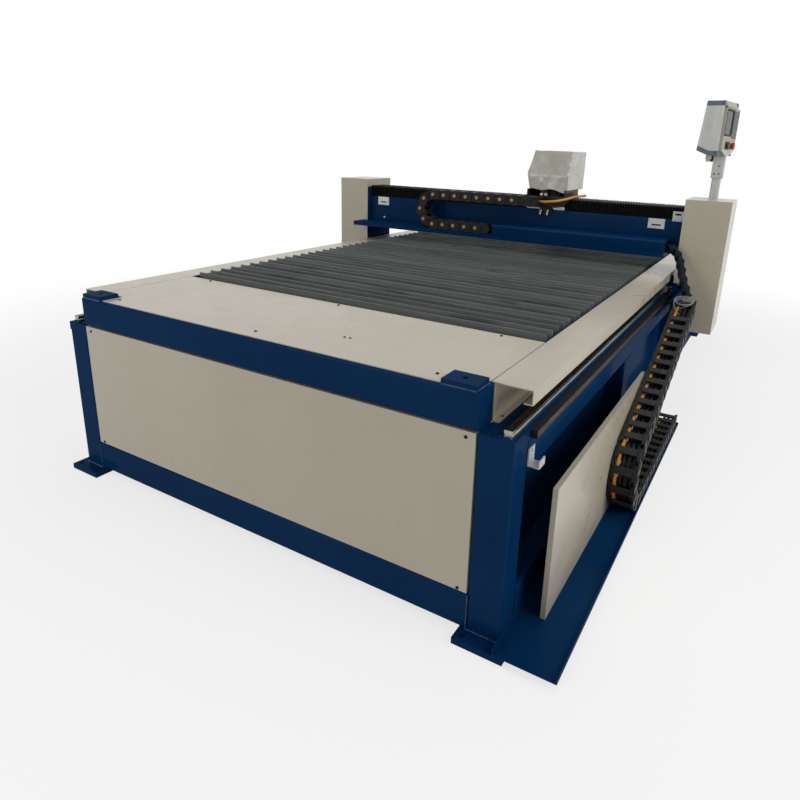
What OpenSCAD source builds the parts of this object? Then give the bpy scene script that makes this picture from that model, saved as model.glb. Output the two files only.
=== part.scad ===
// CNC plasma cutting table: welded tube frame, slat bed, travelling gantry,
// cross carriage with torch lifter, two drag chains and a control box.
// Origin: floor, centre of the table. +X right, +Y away from the front panel, +Z up.

/* [Table frame] */
// length over the end legs
table_l = 3700; // [3000:10:4500]
// clear width between the end legs
opening_w = 1626; // [1300:2:2000]
// side of the square leg tube
leg = 100; // [80:1:120]
// wall of the frame tubes
tube_wall = 6; // [4:0.5:8]
// outside corner radius of the frame tubes
tube_r = 8; // [4:0.5:12]
// leg height from foot plate to side beam
leg_h = 463; // [350:1:600]
// legs on each side
legs_n = 4; // [3:1:6]
// foot plate thickness
foot_t = 20; // [10:1:30]
// foot plate side
foot_side = 150; // [130:1:200]
// foot plate reach past the end of the frame
foot_reach = 47; // [40:1:60]
// foot plate reach past the outer side of a leg
foot_out = 30; // [10:1:45]
// anchor hole radius
anchor_r = 9; // [5:0.5:12]
// anchor hole centre from the plate edges
anchor_inset = 22; // [16:0.5:26]
// height of the lower tubes
low_tube_h = 112; // [80:1:140]
// height of the side beams
side_beam_h = 100; // [80:1:130]
// machined strip thickness
strip_t = 31; // [20:1:40]
// cross tube width along the table
cross_w = 60; // [40:1:100]
// cross tube height
cross_h = 100; // [80:1:120]
// how far the cross tubes stand above the side beams
cross_rise = 33; // [31:1:60]
// cross tubes under the bed
cross_n = 5; // [3:1:9]
// height of the bed frame tubes
bed_h = 106; // [90:1:130]
// thickness of the bed frame side bars
bed_side_w = 16; // [10:1:40]

/* [Sheets and plates] */
// painted sheet thickness
sheet_t = 3; // [2:0.5:4]
// gap between end panel and frame opening
panel_gap = 4; // [2:0.5:8]
// folded depth of the end panels
panel_d = 25; // [15:1:40]
// recess of the inner side sheets behind the leg face
inner_set = 70; // [40:1:80]
// cap plate thickness
cap_t = 16; // [8:1:20]
// cap plate size across the table
cap_x = 100; // [80:1:120]
// cap plate size along the table
cap_y = 75; // [60:1:80]
// cap plate hole radius
cap_hole_r = 8.5; // [6:0.5:20]
// cap plate set in from the end of the bed tube
cap_inset = 10; // [4:1:20]
// top plate front edge behind the frame end
deck_set = 62; // [40:1:80]
// front top plate length along the table
deck_l = 428; // [300:1:600]
// rear top plate length along the table
rear_deck_l = 68; // [60:1:200]
// gap round the cap plates and at the slats
deck_gap = 10; // [5:0.5:15]
// seam between top plates and side covers
deck_seam = 3; // [2:0.5:8]
// down fold of the top plates at the slats
deck_fold = 40; // [20:1:60]
// side cover lap on the bed side bar
cover_lap = 7; // [4:0.5:12]
// side cover reach past the leg face
cover_over = 7; // [0:0.5:12]
// side cover skirt height
skirt_h = 39; // [25:1:41]
// side cover return fold
skirt_fold = 25; // [10:1:35]
// side cover ends set in from the frame ends
cover_set = 85; // [60:1:110]
// side cover lip that rests on the strip
flange_lip = 20; // [10:1:40]

/* [Slat bed] */
// slat pitch
slat_pitch = 60; // [40:1:100]
// slat thickness
slat_t = 6; // [3:0.5:10]
// slat height
slat_h = 100; // [60:1:120]
// slat top above the top plates
slat_proud = 13; // [5:1:30]
// slat end gap to the bed side bar
slat_gap = 5; // [3:0.5:10]
// comb thickness
comb_t = 6; // [4:0.5:10]
// comb set in from the slat ends
comb_set = 8; // [4:1:30]
// depth of the comb slots
comb_slot = 50; // [30:1:60]
// side play of a slat in its slot
slat_play = 0.4; // [0.2:0.1:1.5]

/* [Length drive] */
// rail width
rail_w = 23; // [15:1:30]
// rail height
rail_h = 22; // [15:1:28]
// rail centre in from the strip outer edge
rail_in = 25; // [20:1:40]
// rail end set in from the frame end
rail_set = 15; // [5:1:150]
// rack end set in from the frame end
rack_set = 100; // [60:1:150]
// rail block width
block_w = 48; // [40:1:60]
// rail block length
block_l = 84; // [60:1:110]
// rail block top above the rail base
block_top = 40; // [30:1:45]
// rail block underside above the rail base
block_low = 6; // [4:0.5:10]
// running clearance of a block round its rail
block_clear = 0.4; // [0.3:0.1:1]
// gear module of the length drive
mod_y = 3; // [2:0.5:4]
// pinion teeth of the length drive
teeth_y = 20; // [18:1:30]
// rack width
rack_w = 20; // [15:1:30]
// rack height from tooth tips to back
rack_h = 24; // [18:1:28]
// rack back below the rail base
rack_drop = 2; // [0.5:0.5:6]
// rack segments on each side
rack_n = 4; // [2:1:6]
// gap between rack segments
rack_gap = 0.3; // [0.1:0.1:1]
// flank play of the gears
gear_play = 0.25; // [0.1:0.05:0.5]

/* [Gantry] */
// gantry cover front face from the table centre
gantry_y = 150; // [-1000:10:1000]
// gantry cover depth along the table
cover_d = 260; // [220:1:320]
// gantry cover width
cover_w = 207; // [190:1:260]
// gantry cover inner face from the side cover
cover_gap = 20; // [10:0.5:30]
// gantry cover height
cover_h = 648; // [560:1:750]
// gantry cover top above the top plates
cover_top = 368; // [300:1:420]
// width of the notch under the inner part of a cover
notch_w = 56; // [54:1:62]
// height of the notch from the cover bottom
notch_h = 236; // [200:1:240]
// lip at the top of the cover opening
cover_lip = 46; // [20:1:60]
// end plate thickness
end_t = 20; // [12:1:30]
// end plate lower edge above the cover bottom
end_low = 50; // [20:1:60]
// end plate top below the cover top
end_top = 52; // [50:1:80]
// gantry foot thickness
gfoot_t = 20; // [15:1:24]
// gantry foot set in from the end plate edges
gfoot_set = 18; // [5:1:40]
// beam depth along the table
beam_d = 150; // [120:1:200]
// beam height
beam_h = 170; // [120:1:200]
// beam wall
beam_wall = 8; // [5:0.5:12]
// beam front face behind the cover front face
beam_set = 40; // [20:1:60]
// beam underside above the top plates
beam_lift = 95; // [70:1:140]
// motor side of the length drive
motor_side = 86; // [60:1:100]
// motor length
motor_l = 108; // [80:1:120]
// gearbox side
gearbox_side = 80; // [60:1:90]
// gearbox length
gearbox_l = 66; // [40:1:90]
// pinion shaft radius
shaft_r = 12; // [8:0.5:15]
// clearance round the pinion shaft in the end plate
shaft_clear = 6; // [2:0.5:10]

/* [Cross drive] */
// cross rail width
xrail_w = 20; // [15:1:25]
// cross rail height
xrail_h = 18; // [14:1:22]
// cross rail centre in from the beam faces
xrail_in = 25; // [22:1:40]
// cross block width
xblock_w = 44; // [34:1:50]
// cross block length
xblock_l = 70; // [50:1:90]
// cross block top above the rail base
xblock_top = 30; // [26:1:40]
// cross block underside above the rail base
xblock_low = 5; // [3:0.5:8]
// gear module of the cross drive
mod_x = 2; // [1.5:0.25:2.5]
// pinion teeth of the cross drive
teeth_x = 20; // [18:1:28]
// cross rack bar depth from tooth tips to back
xrack_d = 20; // [14:1:24]
// cross rack bar height
xrack_h = 20; // [15:1:30]
// cross rack top below the beam top
xrack_drop = 29; // [15:1:50]
// cross rack end gap to the end plates
xrack_set = 70; // [40:1:150]
// carriage centre from the table centre line
car_x = 220; // [-600:10:600]
// carriage width
car_w = 220; // [180:1:260]
// carriage plate thickness
car_t = 20; // [12:1:26]
// carriage plate reach behind the beam
car_back = 75; // [60:1:110]
// carriage side plate height
car_side_h = 55; // [30:1:80]
// carriage side plate thickness
car_side_t = 8; // [5:1:12]
// bellows height
bellows_h = 64; // [56:1:75]
// bellows fold pitch
fold_p = 14; // [8:1:24]
// bellows fold depth
fold_d = 9; // [5:0.5:9]
// bellows sheet thickness
fold_t = 1.5; // [1:0.25:3]
// bellows gap to the end plates and carriage
bellows_gap = 0.5; // [0.3:0.1:2]

/* [Torch lifter] */
// lifter cover height
hood_h = 203; // [150:1:260]
// lifter cover depth
hood_d = 300; // [260:1:340]
// lifter cover vertical front height
hood_front = 76; // [40:1:120]
// lifter cover front slope run
hood_slope = 46; // [20:1:80]
// lifter cover front behind the beam front face
hood_set = 20; // [10:1:40]
// lifter housing width
lift_w = 180; // [140:1:200]
// lifter housing depth
lift_d = 62; // [50:1:80]
// lifter housing wall
lift_wall = 8; // [5:0.5:12]
// lifter housing end plate thickness
lift_end = 12; // [8:1:20]
// lifter housing below the carriage plate
lift_low = 240; // [200:1:260]
// lifter housing above the carriage plate top
lift_up = 140; // [100:1:160]
// lifting screw radius
screw_r = 8; // [6:0.5:12]
// bearing clearance of the screw
screw_clear = 0.05; // [0.02:0.01:0.1]
// screw lead for one turn
screw_lead = 5; // [2:0.5:10]
// nut block width
nut_w = 60; // [40:1:80]
// nut block depth
nut_d = 36; // [26:1:42]
// nut block height
nut_h = 46; // [30:1:60]
// nut block above the lower screw bearing
nut_up = 100; // [70:1:160]
// slide plate width
slide_w = 120; // [80:1:150]
// slide plate height
slide_h = 200; // [150:1:240]
// slide plate thickness
slide_t = 12; // [8:1:16]
// slide plate gap to the housing
slide_gap = 4; // [2:0.5:8]
// torch radius
torch_r = 18; // [14:0.5:25]
// torch axis behind the slide plate
torch_out = 66; // [60:1:90]
// torch tip above the slats
torch_tip = 34; // [10:1:60]
// torch length
torch_l = 240; // [180:1:300]
// torch nozzle length
nozzle_l = 30; // [15:1:50]
// torch nozzle tip radius
nozzle_r = 7; // [4:0.5:12]
// torch guard disc radius
guard_r = 72; // [40:1:90]
// torch guard disc height
guard_h = 24; // [12:1:40]
// torch guard above the torch tip
guard_up = 12; // [4:1:40]
// torch clamp height
clamp_h = 60; // [40:1:100]
// torch clamp wall round the torch
clamp_wall = 12; // [8:1:20]
// lifter motor side
zmotor_side = 60; // [42:1:80]
// lifter motor length
zmotor_l = 95; // [60:1:100]
// cross motor side
xmotor_side = 70; // [60:1:72]
// cross motor length
xmotor_l = 140; // [100:1:170]

/* [Chains and cable ways] */
// cross chain shelf depth
shelf_d = 145; // [120:1:180]
// shelf plate thickness
shelf_t = 4; // [3:0.5:6]
// shelf plate above the beam underside
shelf_up = 16; // [8:1:40]
// shelf front lip height
shelf_lip = 24; // [15:1:40]
// shelf right end from the end plate
shelf_right = 50; // [20:1:120]
// shelf left end past the end plate
shelf_left = 31; // [10:1:80]
// cross chain pitch
xlink_p = 70; // [50:1:80]
// cross chain link height
xlink_h = 54; // [40:1:60]
// cross chain link width
xlink_w = 80; // [60:1:85]
// cross chain bend radius
xbend_r = 84; // [70:1:90]
// cross chain front face behind the shelf front
xchain_set = 12; // [8:1:20]
// cross chain bend from the carriage centre
xbend_from = 634; // [500:1:800]
// links in the cross chain upper run
xup_n = 9; // [5:1:14]
// links in the cross chain lower run
xlow_n = 5; // [3:1:10]
// cable duct height
duct_h = 56; // [40:1:80]
// cable duct front behind the shelf front
duct_set = 15; // [5:1:20]
// cable duct slope run at its front edge
duct_slope = 10; // [4:1:20]
// length chain pitch
ylink_p = 66; // [50:1:80]
// length chain link height
ylink_h = 60; // [45:1:70]
// length chain link width
ylink_w = 94; // [70:1:100]
// length chain bend radius
ybend_r = 115; // [90:1:140]
// moving end of the length chain above the rail base
yend_up = 16; // [-20:1:60]
// length chain bend from the gantry cover front
ybend_from = 1100; // [800:1:1400]
// links in the length chain upper run
yup_n = 15; // [10:1:20]
// links in the length chain lower run
ylow_n = 13; // [8:1:18]
// chain side plate thickness
link_side = 9; // [6:0.5:14]
// chain crossbar height
link_bar = 7; // [5:0.5:10]
// chain crossbar length along the chain
link_bar_l = 22; // [12:1:30]
// crossbar inset from the side plate edges
bar_set = 1; // [0.5:0.1:3]
// gap between neighbouring links
link_gap = 0.6; // [0.4:0.1:2]
// chain arm set out from the gantry end plate
arm_out = 22; // [20:1:23]
// seat clearance of a chain on what carries it
chain_seat = 0.3; // [0.2:0.1:1]
// cable tray width
tray_w = 178; // [177:1:220]
// cable tray outer lip height
tray_lip = 14; // [8:1:100]
// cable tray inner wall height
tray_wall = 25; // [10:1:90]
// cable tray end past the fixed chain end
tray_end = 24; // [10:1:60]
// guard panel height
guardp_h = 416; // [350:1:430]
// guard panel length
guardp_l = 1100; // [800:1:1400]
// guard panel front edge from the frame end
guardp_set = 150; // [120:1:300]
// guard panel outer face from the leg face
guardp_out = 76; // [60:1:77]
// guard panel folds
guardp_fold = 15; // [10:1:34]
// guard panel stand feet width
stand_w = 60; // [40:1:100]
// cable bundle radius
bundle_r = 22; // [15:0.5:22]
// cable bundle start inside the shelf end
bundle_in = 24; // [10:1:60]
// torch lead radius
lead_r = 7; // [4:0.5:8]
// torch lead reach past the carriage side
lead_out = 48; // [30:1:52]
// torch lead clearance over the bellows
lead_lift = 4; // [2:0.5:15]

/* [Control box] */
// pole side
pole_w = 40; // [30:1:50]
// pole sleeve side
sleeve_w = 52; // [46:1:70]
// pole wall
pole_wall = 3; // [2:0.5:5]
// pole height
pole_h = 100; // [80:1:200]
// sleeve height
sleeve_h = 110; // [80:1:160]
// pole centre in from the cover outer face
pole_in = 104; // [60:1:130]
// pole centre from the cover front face
pole_y = 170; // [60:1:200]
// control box turn about the pole in degrees
box_turn = 9; // [0:1:40]
// control box width
box_w = 240; // [200:1:320]
// control box depth
box_d = 100; // [80:1:140]
// control box height
box_h = 246; // [200:1:300]
// lean of the box back towards the front at its top
box_taper = 20; // [0:1:40]
// lowering of the box underside towards the pole
box_dip = 22; // [5:1:40]
// control box front ahead of the pole centre
box_front = 17; // [0:1:40]
// end cap height
boxcap_h = 22; // [10:1:30]
// bezel thickness
bezel_t = 12; // [6:1:20]
// bezel inset from the box edges
bezel_in = 6; // [3:1:15]
// screen width
screen_w = 118; // [90:1:150]
// screen height
screen_h = 110; // [80:1:140]
// screen recess
screen_set = 4; // [2:0.5:8]
// screen shade reach
shade_d = 34; // [20:1:60]
// screen shade height
shade_h = 30; // [15:1:40]
// emergency stop head radius
stop_r = 15; // [10:0.5:20]
// emergency stop head height
stop_h = 16; // [8:1:24]
// push button radius
button_r = 9; // [6:0.5:12]
// push button height
button_h = 7; // [4:0.5:12]
// stem radius of the stop head and button
stem_r = 6; // [4:0.5:8]
// stem bore clearance
stem_clear = 0.05; // [0.02:0.01:0.1]
// press travel of the stop head and button
press_t = 4; // [2:0.5:6]

/* [Hidden] */
$fn = 48;
// overrun of every cut
cut = 2;
// gap that keeps neighbouring solids of one node apart
seam = 0.2;
half_l = table_l / 2;
half_o = opening_w / 2;
leg_out = half_o + leg;
z_leg = foot_t;
z_beam = foot_t + leg_h;
z_strip = z_beam + side_beam_h;
z_rail = z_strip + strip_t;
z_bed = z_strip + cross_rise;
z_deck = z_bed + bed_h;
leg_step = (table_l - leg) / (legs_n - 1);
cross_step = (table_l - 2 * panel_d - cross_w) / (cross_n - 1);
bed_in = half_o - bed_side_w;
cover_x = leg_out + cover_over;
deck_x = half_o - cover_lap - deck_seam;
slat_y0 = -half_l + deck_set + deck_l + deck_gap;
slat_y1 = half_l - deck_set - rear_deck_l - deck_gap;
slats_n = floor((slat_y1 - slat_y0) / slat_pitch);
slat_first = (slat_y0 + slat_y1 - (slats_n - 1) * slat_pitch) / 2;
slat_x = bed_in - slat_gap;
z_slat = z_deck + sheet_t + slat_proud - slat_h;
rail_x = leg_out - rail_in;
rail_l = table_l - 2 * rail_set;
rack_l = table_l - 2 * rack_set;

// gantry places
cov_in = cover_x + cover_gap;
cov_out = cov_in + cover_w;
z_cov = z_deck + cover_top;
z_cov0 = z_cov - cover_h;
z_notch = z_cov0 + notch_h;
z_gfoot = z_rail + block_top;
end_y0 = gantry_y + sheet_t;
end_d = cover_d - 2 * sheet_t;
gantry_mid = gantry_y + cover_d / 2;
beam_y0 = gantry_y + beam_set;
beam_y1 = beam_y0 + beam_d;
z_gbeam = z_deck + beam_lift;
z_gtop = z_gbeam + beam_h;
rp_y = mod_y * teeth_y / 2;
z_tip = z_rail - rack_drop - rack_h;
z_pitch = z_tip + mod_y;
z_pinion = z_pitch - rp_y;
pinion_y = gantry_mid;
pitch_y = PI * mod_y;

// carriage places
z_xrail = z_gtop;
z_car = z_xrail + xblock_top;
z_cartop = z_car + car_t;
car_y0 = beam_y0 + seam;
car_y1 = beam_y1 + car_back;
rp_x = mod_x * teeth_x / 2;
pitch_x = PI * mod_x;
y_xpitch = beam_y1 + xrack_d - mod_x;
y_xpinion = y_xpitch + rp_x;
z_xrack = z_gtop - xrack_drop - xrack_h;
hood_y0 = beam_y0 + hood_set;
z_hood = z_cartop + car_side_h;
lift_y0 = car_y1;
lift_y1 = lift_y0 + lift_d;
z_lift0 = z_car - lift_low;
z_lift1 = z_cartop + lift_up;
screw_y = lift_y0 + lift_wall + nut_d / 2;
z_nut = z_lift0 + lift_end + nut_up;
slide_y0 = lift_y1 + slide_gap;
torch_y = slide_y0 + slide_t + torch_out;
z_tiptorch = z_deck + sheet_t + slat_proud + torch_tip;
z_slide = z_nut + nut_h / 2 - slide_h / 2;

// chain places
shelf_y0 = beam_y0 - shelf_d;
z_shelf = z_gbeam + shelf_up + shelf_t;
xchain_y0 = shelf_y0 + xchain_set;
z_xlow = z_shelf + chain_seat;
xbend_x = car_x - xbend_from;
z_xup = z_xlow + 2 * xbend_r;
ychain_x = cov_in + end_t + arm_out + end_t / 2 + chain_seat;
z_tray = z_leg + sheet_t;
z_ylow = z_tray + chain_seat;
ybend_y = gantry_y - ybend_from;
z_ybend = z_ylow + ylink_h / 2 + ybend_r;
yup_l = yup_n * ylink_p;
yslope = asin((z_rail + yend_up - z_ybend - ybend_r) / yup_l);
yup_y = ybend_y - ybend_r * sin(yslope);
yup_z = z_ybend + ybend_r * cos(yslope);
yend_y = yup_y + yup_l * cos(yslope);
yend_z = yup_z + yup_l * sin(yslope);
yfix_y = ybend_y + ylow_n * ylink_p;
tray_y1 = yfix_y + tray_end;

// control box places
pole_x = cov_out - pole_in;
pole_yy = gantry_y + pole_y;
z_box = z_cov + pole_h + sleeve_h - pole_wall;

blue = [0.05, 0.18, 0.40];
beige = [0.70, 0.67, 0.60];
steel = [0.62, 0.63, 0.64];
dark = [0.14, 0.14, 0.15];
black = [0.07, 0.07, 0.07];

// both sides of the table: children drawn for +X and mirrored for -X
module sides() {
    children();
    mirror([1, 0, 0]) children();
}

// both ends of the table
module ends() {
    children();
    mirror([0, 1, 0]) children();
}

// rectangle with rounded corners, centred
module rounded(w, h, r) {
    square([w - 2 * r, h], center = true);
    square([w, h - 2 * r], center = true);
    for (sx = [-1, 1])
        for (sy = [-1, 1])
            translate([sx * (w / 2 - r), sy * (h / 2 - r)]) circle(r = r);
}

// section of a rectangular tube
module tube_section(w, h, wall) {
    difference() {
        rounded(w, h, tube_r);
        square([w - 2 * wall, h - 2 * wall], center = true);
    }
}

// tubes lying along each axis, centred on their length
module tube_x(l, d, h, wall) {
    rotate([90, 0, 90]) linear_extrude(l, center = true) tube_section(d, h, wall);
}

module tube_y(l, w, h, wall) {
    rotate([90, 0, 0]) linear_extrude(l, center = true) tube_section(w, h, wall);
}

module tube_z(l, w, d, wall) {
    linear_extrude(l) tube_section(w, d, wall);
}

// section in X and Z drawn out along Y from y0
module along_y(y0, l) {
    translate([0, y0 + l, 0]) rotate([90, 0, 0]) linear_extrude(l) children();
}

// section in Y and Z drawn out along X from x0
module along_x(x0, l) {
    translate([x0, 0, 0]) rotate([90, 0, 90]) linear_extrude(l) children();
}

// box from its low corner
module block(p, s) {
    translate(p) cube(s);
}

// foot plates under the legs, with anchor holes at the four corners
module foot_plates() color(blue) {
    px = leg_out + foot_out - foot_side;
    sides() {
        ends() difference() {
            block([px, -half_l - foot_reach, 0], [foot_side, foot_side, foot_t]);
            for (x = [px + anchor_inset, px + foot_side - anchor_inset])
                translate([x, -half_l - foot_reach + anchor_inset, -cut])
                    cylinder(r = anchor_r, h = foot_t + 2 * cut);
        }
        for (i = [1 : legs_n - 2])
            block([px, -half_l + leg / 2 + i * leg_step - foot_side / 2, 0],
                [foot_side, foot_side, foot_t]);
    }
}

// the corner legs run up to the strips, the others end under the side beams
module legs() color(blue) {
    sides() {
        ends() translate([half_o + leg / 2, -half_l + leg / 2, z_leg])
            tube_z(leg_h + side_beam_h, leg, leg, tube_wall);
        for (i = [1 : legs_n - 2])
            translate([half_o + leg / 2, -half_l + leg / 2 + i * leg_step, z_leg])
                tube_z(leg_h, leg, leg, tube_wall);
    }
}

module lower_tubes() color(blue) {
    zc = z_leg + low_tube_h / 2;
    ends() translate([0, -half_l + leg / 2, zc]) tube_x(opening_w, leg, low_tube_h, tube_wall);
    sides() for (i = [0 : legs_n - 2])
        translate([half_o + leg / 2, -half_l + leg / 2 + (i + 1 / 2) * leg_step, zc])
            tube_y(leg_step - leg, leg, low_tube_h, tube_wall);
}

module side_beams() color(blue) {
    sides() translate([half_o + leg / 2, 0, z_beam + side_beam_h / 2])
        tube_y(table_l - 2 * leg, leg, side_beam_h, tube_wall);
}

// machined strips on the side beams that carry the rails
module rail_strips() color(blue) {
    sides() block([half_o, -half_l, z_strip], [leg, table_l, strip_t]);
}

module cross_tubes() color(blue) {
    for (i = [0 : cross_n - 1])
        translate([0, -half_l + panel_d + cross_w / 2 + i * cross_step, z_bed - cross_h / 2])
            tube_x(opening_w, cross_w, cross_h, tube_wall);
}

// closed tubes at both ends of the bed and flat bars along its sides
module bed_frame() color(blue) {
    ends() translate([0, -half_l + leg / 2, z_bed + bed_h / 2])
        tube_x(opening_w, leg, bed_h, tube_wall);
    sides() {
        ends() block([half_o - tube_wall, -half_l + tube_wall + seam, z_bed + tube_wall + seam],
            [tube_wall, leg - 2 * (tube_wall + seam), bed_h - 2 * (tube_wall + seam)]);
        block([bed_in, -half_l + leg + seam, z_bed], [bed_side_w, table_l - 2 * leg - 2 * seam, bed_h]);
    }
}

// corner plates with a lifting hole
module cap_plates() color(blue) {
    sides() ends() difference() {
        block([half_o - cap_inset - cap_x, -half_l, z_deck], [cap_x, cap_y, cap_t]);
        translate([half_o - cap_inset - cap_x / 2, -half_l + cap_y / 2, z_deck - cut])
            cylinder(r = cap_hole_r, h = cap_t + 2 * cut);
    }
}

// folded sheet panels in the two end openings
module end_panels() color(beige) {
    w = opening_w - 2 * panel_gap;
    z0 = z_leg + low_tube_h + panel_gap;
    h = z_bed - panel_gap - z0;
    ends() difference() {
        block([-w / 2, -half_l, z0], [w, panel_d, h]);
        block([-w / 2 + sheet_t, -half_l + sheet_t, z0 + sheet_t],
            [w - 2 * sheet_t, panel_d, h - 2 * sheet_t]);
    }
}

// recessed sheets that close the sides between the legs
module inner_sheets() color(blue) {
    sides() for (i = [0 : legs_n - 2])
        block([leg_out - inner_set, -half_l + leg + i * leg_step, z_leg + low_tube_h],
            [sheet_t, leg_step - leg, z_beam - z_leg - low_tube_h]);
}

// flat plates at both ends of the slats, folded down at the slats
module top_plate(l) {
    difference() {
        block([-deck_x, -half_l + deck_set, z_deck], [2 * deck_x, l, sheet_t]);
        sides() block([half_o - cap_inset - cap_x - deck_gap, -half_l, z_deck - cut],
            [cap_x + deck_gap + cap_inset, cap_y + deck_gap, sheet_t + 2 * cut]);
    }
    block([-bed_in + slat_gap, -half_l + deck_set + l - sheet_t, z_deck - deck_fold],
        [2 * (bed_in - slat_gap), sheet_t, deck_fold]);
}

module top_plates() color(beige) {
    top_plate(deck_l);
    mirror([0, 1, 0]) top_plate(rear_deck_l);
}

// folded channels over the rails
module side_cover_section() {
    x0 = half_o - cover_lap;
    zt = z_deck + sheet_t;
    zs = zt - sheet_t - skirt_h;
    polygon([[x0, z_deck], [half_o, z_deck], [half_o, z_rail], [half_o + flange_lip, z_rail],
        [half_o + flange_lip, z_rail + sheet_t], [half_o + sheet_t, z_rail + sheet_t], [half_o + sheet_t, z_deck],
        [cover_x - sheet_t, z_deck], [cover_x - sheet_t, zs + sheet_t],
        [cover_x - skirt_fold, zs + sheet_t], [cover_x - skirt_fold, zs], [cover_x, zs],
        [cover_x, zt], [x0, zt]]);
}

module side_covers() color(beige) {
    sides() along_y(-half_l + cover_set, table_l - 2 * cover_set) side_cover_section();
}

module slats() color(dark) {
    for (i = [0 : slats_n - 1])
        block([-slat_x, slat_first + i * slat_pitch - slat_t / 2, z_slat],
            [2 * slat_x, slat_t, slat_h]);
}

// slotted bars that hold the slats upright
module slat_combs() {
    y0 = slat_first - slat_pitch / 2;
    l = slats_n * slat_pitch;
    z0 = z_bed + sheet_t + seam;
    sides() difference() {
        block([slat_x - comb_set - comb_t, y0, z0], [comb_t, l, z_slat + comb_slot - z0]);
        for (i = [0 : slats_n - 1])
            block([slat_x - comb_set - comb_t - cut,
                slat_first + i * slat_pitch - slat_t / 2 - slat_play / 2, z_slat],
                [comb_t + 2 * cut, slat_t + slat_play, comb_slot + cut]);
    }
}

// sheet that catches the slag under the slats, with the combs that stand on it
module slag_pan() color(dark) {
    block([-bed_in, slat_first - slat_pitch / 2, z_bed],
        [2 * bed_in, slats_n * slat_pitch, sheet_t]);
    slat_combs();
}

// section of a profiled rail: base, waist and head, as shares of its width and height
waist_share = 0.36;
head_share = 0.62;
foot_share = 0.35;
module rail_section(w, h) {
    polygon([[-w / 2, 0], [w / 2, 0], [w / 2, h * foot_share], [w * waist_share, h / 2],
        [w / 2, h * head_share], [w / 2, h], [-w / 2, h], [-w / 2, h * head_share],
        [-w * waist_share, h / 2], [-w / 2, h * foot_share]]);
}

module y_rails() color(steel) {
    sides() translate([rail_x, 0, z_rail])
        along_y(-rail_l / 2, rail_l) rail_section(rail_w, rail_h);
}

// rack outline with straight 20 degree flanks: teeth point down, pitch line at height 0,
// tooth gap at t = 0; first tooth number k0, tooth count n, back at height b
flank_deg = 20;
root_share = 1.25;
module rack_outline(m, k0, n, b, play, gap = 0) {
    p = PI * m;
    half_t = p / 4 - play / 2;
    tip = half_t - m * tan(flank_deg);
    root = half_t + m * root_share * tan(flank_deg);
    pts = [for (k = [k0 : k0 + n - 1]) let (c = (k + 1 / 2) * p)
        each [[c - root, m * root_share], [c - tip, -m], [c + tip, -m], [c + root, m * root_share]]];
    t0 = k0 * p + gap / 2;
    t1 = (k0 + n) * p - gap / 2;
    polygon(concat([[t0, b], [t0, m * root_share]], pts, [[t1, m * root_share], [t1, b]]));
}

// involute pinion outline with one tooth centred on +Y
steps = 5;
function inv(a) = tan(a) * 180 / PI - a;
function flank_pt(m, z, r, play, s) =
    let (rp = m * z / 2, rb = rp * cos(flank_deg), a = acos(min(1, rb / r)),
        h = (PI * m / 2 - play) / (2 * rp) * 180 / PI + inv(flank_deg) - inv(a))
    [r * sin(s * h), r * cos(s * h)];
module pinion_outline(m, z, play) {
    rp = m * z / 2;
    rb = rp * cos(flank_deg);
    ra = rp + m;
    rf = rp - m * root_share;
    r0 = max(rb, rf);
    tooth = concat([flank_pt(m, z, r0, play, -1) * rf / r0],
        [for (i = [0 : steps]) flank_pt(m, z, r0 + (ra - r0) * i / steps, play, -1)],
        [for (i = [steps : -1 : 0]) flank_pt(m, z, r0 + (ra - r0) * i / steps, play, 1)],
        [flank_pt(m, z, r0, play, 1) * rf / r0]);
    polygon([for (k = [0 : z - 1]) let (t = -k * 360 / z)
        each [for (q = tooth) [q[0] * cos(t) - q[1] * sin(t), q[0] * sin(t) + q[1] * cos(t)]]]);
}

// racks bolted to the outer edges of the strips, in butted segments
module y_racks() color(dark) {
    k_lo = ceil((-rack_l / 2 - pinion_y) / pitch_y);
    k_hi = floor((rack_l / 2 - pinion_y) / pitch_y);
    seg = floor((k_hi - k_lo) / rack_n);
    sides() for (i = [0 : rack_n - 1])
        translate([leg_out, pinion_y, z_pitch]) along_x(0, rack_w)
            rack_outline(mod_y, k_lo + i * seg, seg, rack_h - mod_y, gear_play, rack_gap);
}

// long tray on the right that carries the lower chain run
module cable_tray() color(blue) {
    y0 = -half_l - foot_reach;
    x1 = leg_out + tray_w;
    along_y(y0, tray_y1 - y0)
        polygon([[leg_out, z_leg], [x1, z_leg], [x1, z_leg + tray_lip],
            [x1 - sheet_t, z_leg + tray_lip], [x1 - sheet_t, z_tray], [leg_out + sheet_t, z_tray],
            [leg_out + sheet_t, z_leg + tray_wall], [leg_out, z_leg + tray_wall]]);
    block([leg_out + sheet_t, tray_y1 - sheet_t, z_tray], [tray_w - 2 * sheet_t, sheet_t,
        tray_lip - sheet_t]);
}

// folded panels that stand beside the frame; the left one has its own sill
module guard_panel() {
    x1 = leg_out + guardp_out;
    y0 = -half_l + guardp_set;
    difference() {
        block([x1 - guardp_fold, y0, z_tray], [guardp_fold, guardp_l, guardp_h]);
        block([x1 - guardp_fold - cut, y0 + sheet_t, z_tray + sheet_t],
            [guardp_fold - sheet_t + cut, guardp_l - 2 * sheet_t, guardp_h - 2 * sheet_t]);
    }
}

module guard_panels() color(beige) {
    guard_panel();
    mirror([1, 0, 0]) {
        guard_panel();
        for (s = [0, 1])
            block([leg_out, -half_l + guardp_set + s * (guardp_l - stand_w), z_leg],
                [guardp_out, stand_w, sheet_t]);
    }
}

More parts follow.
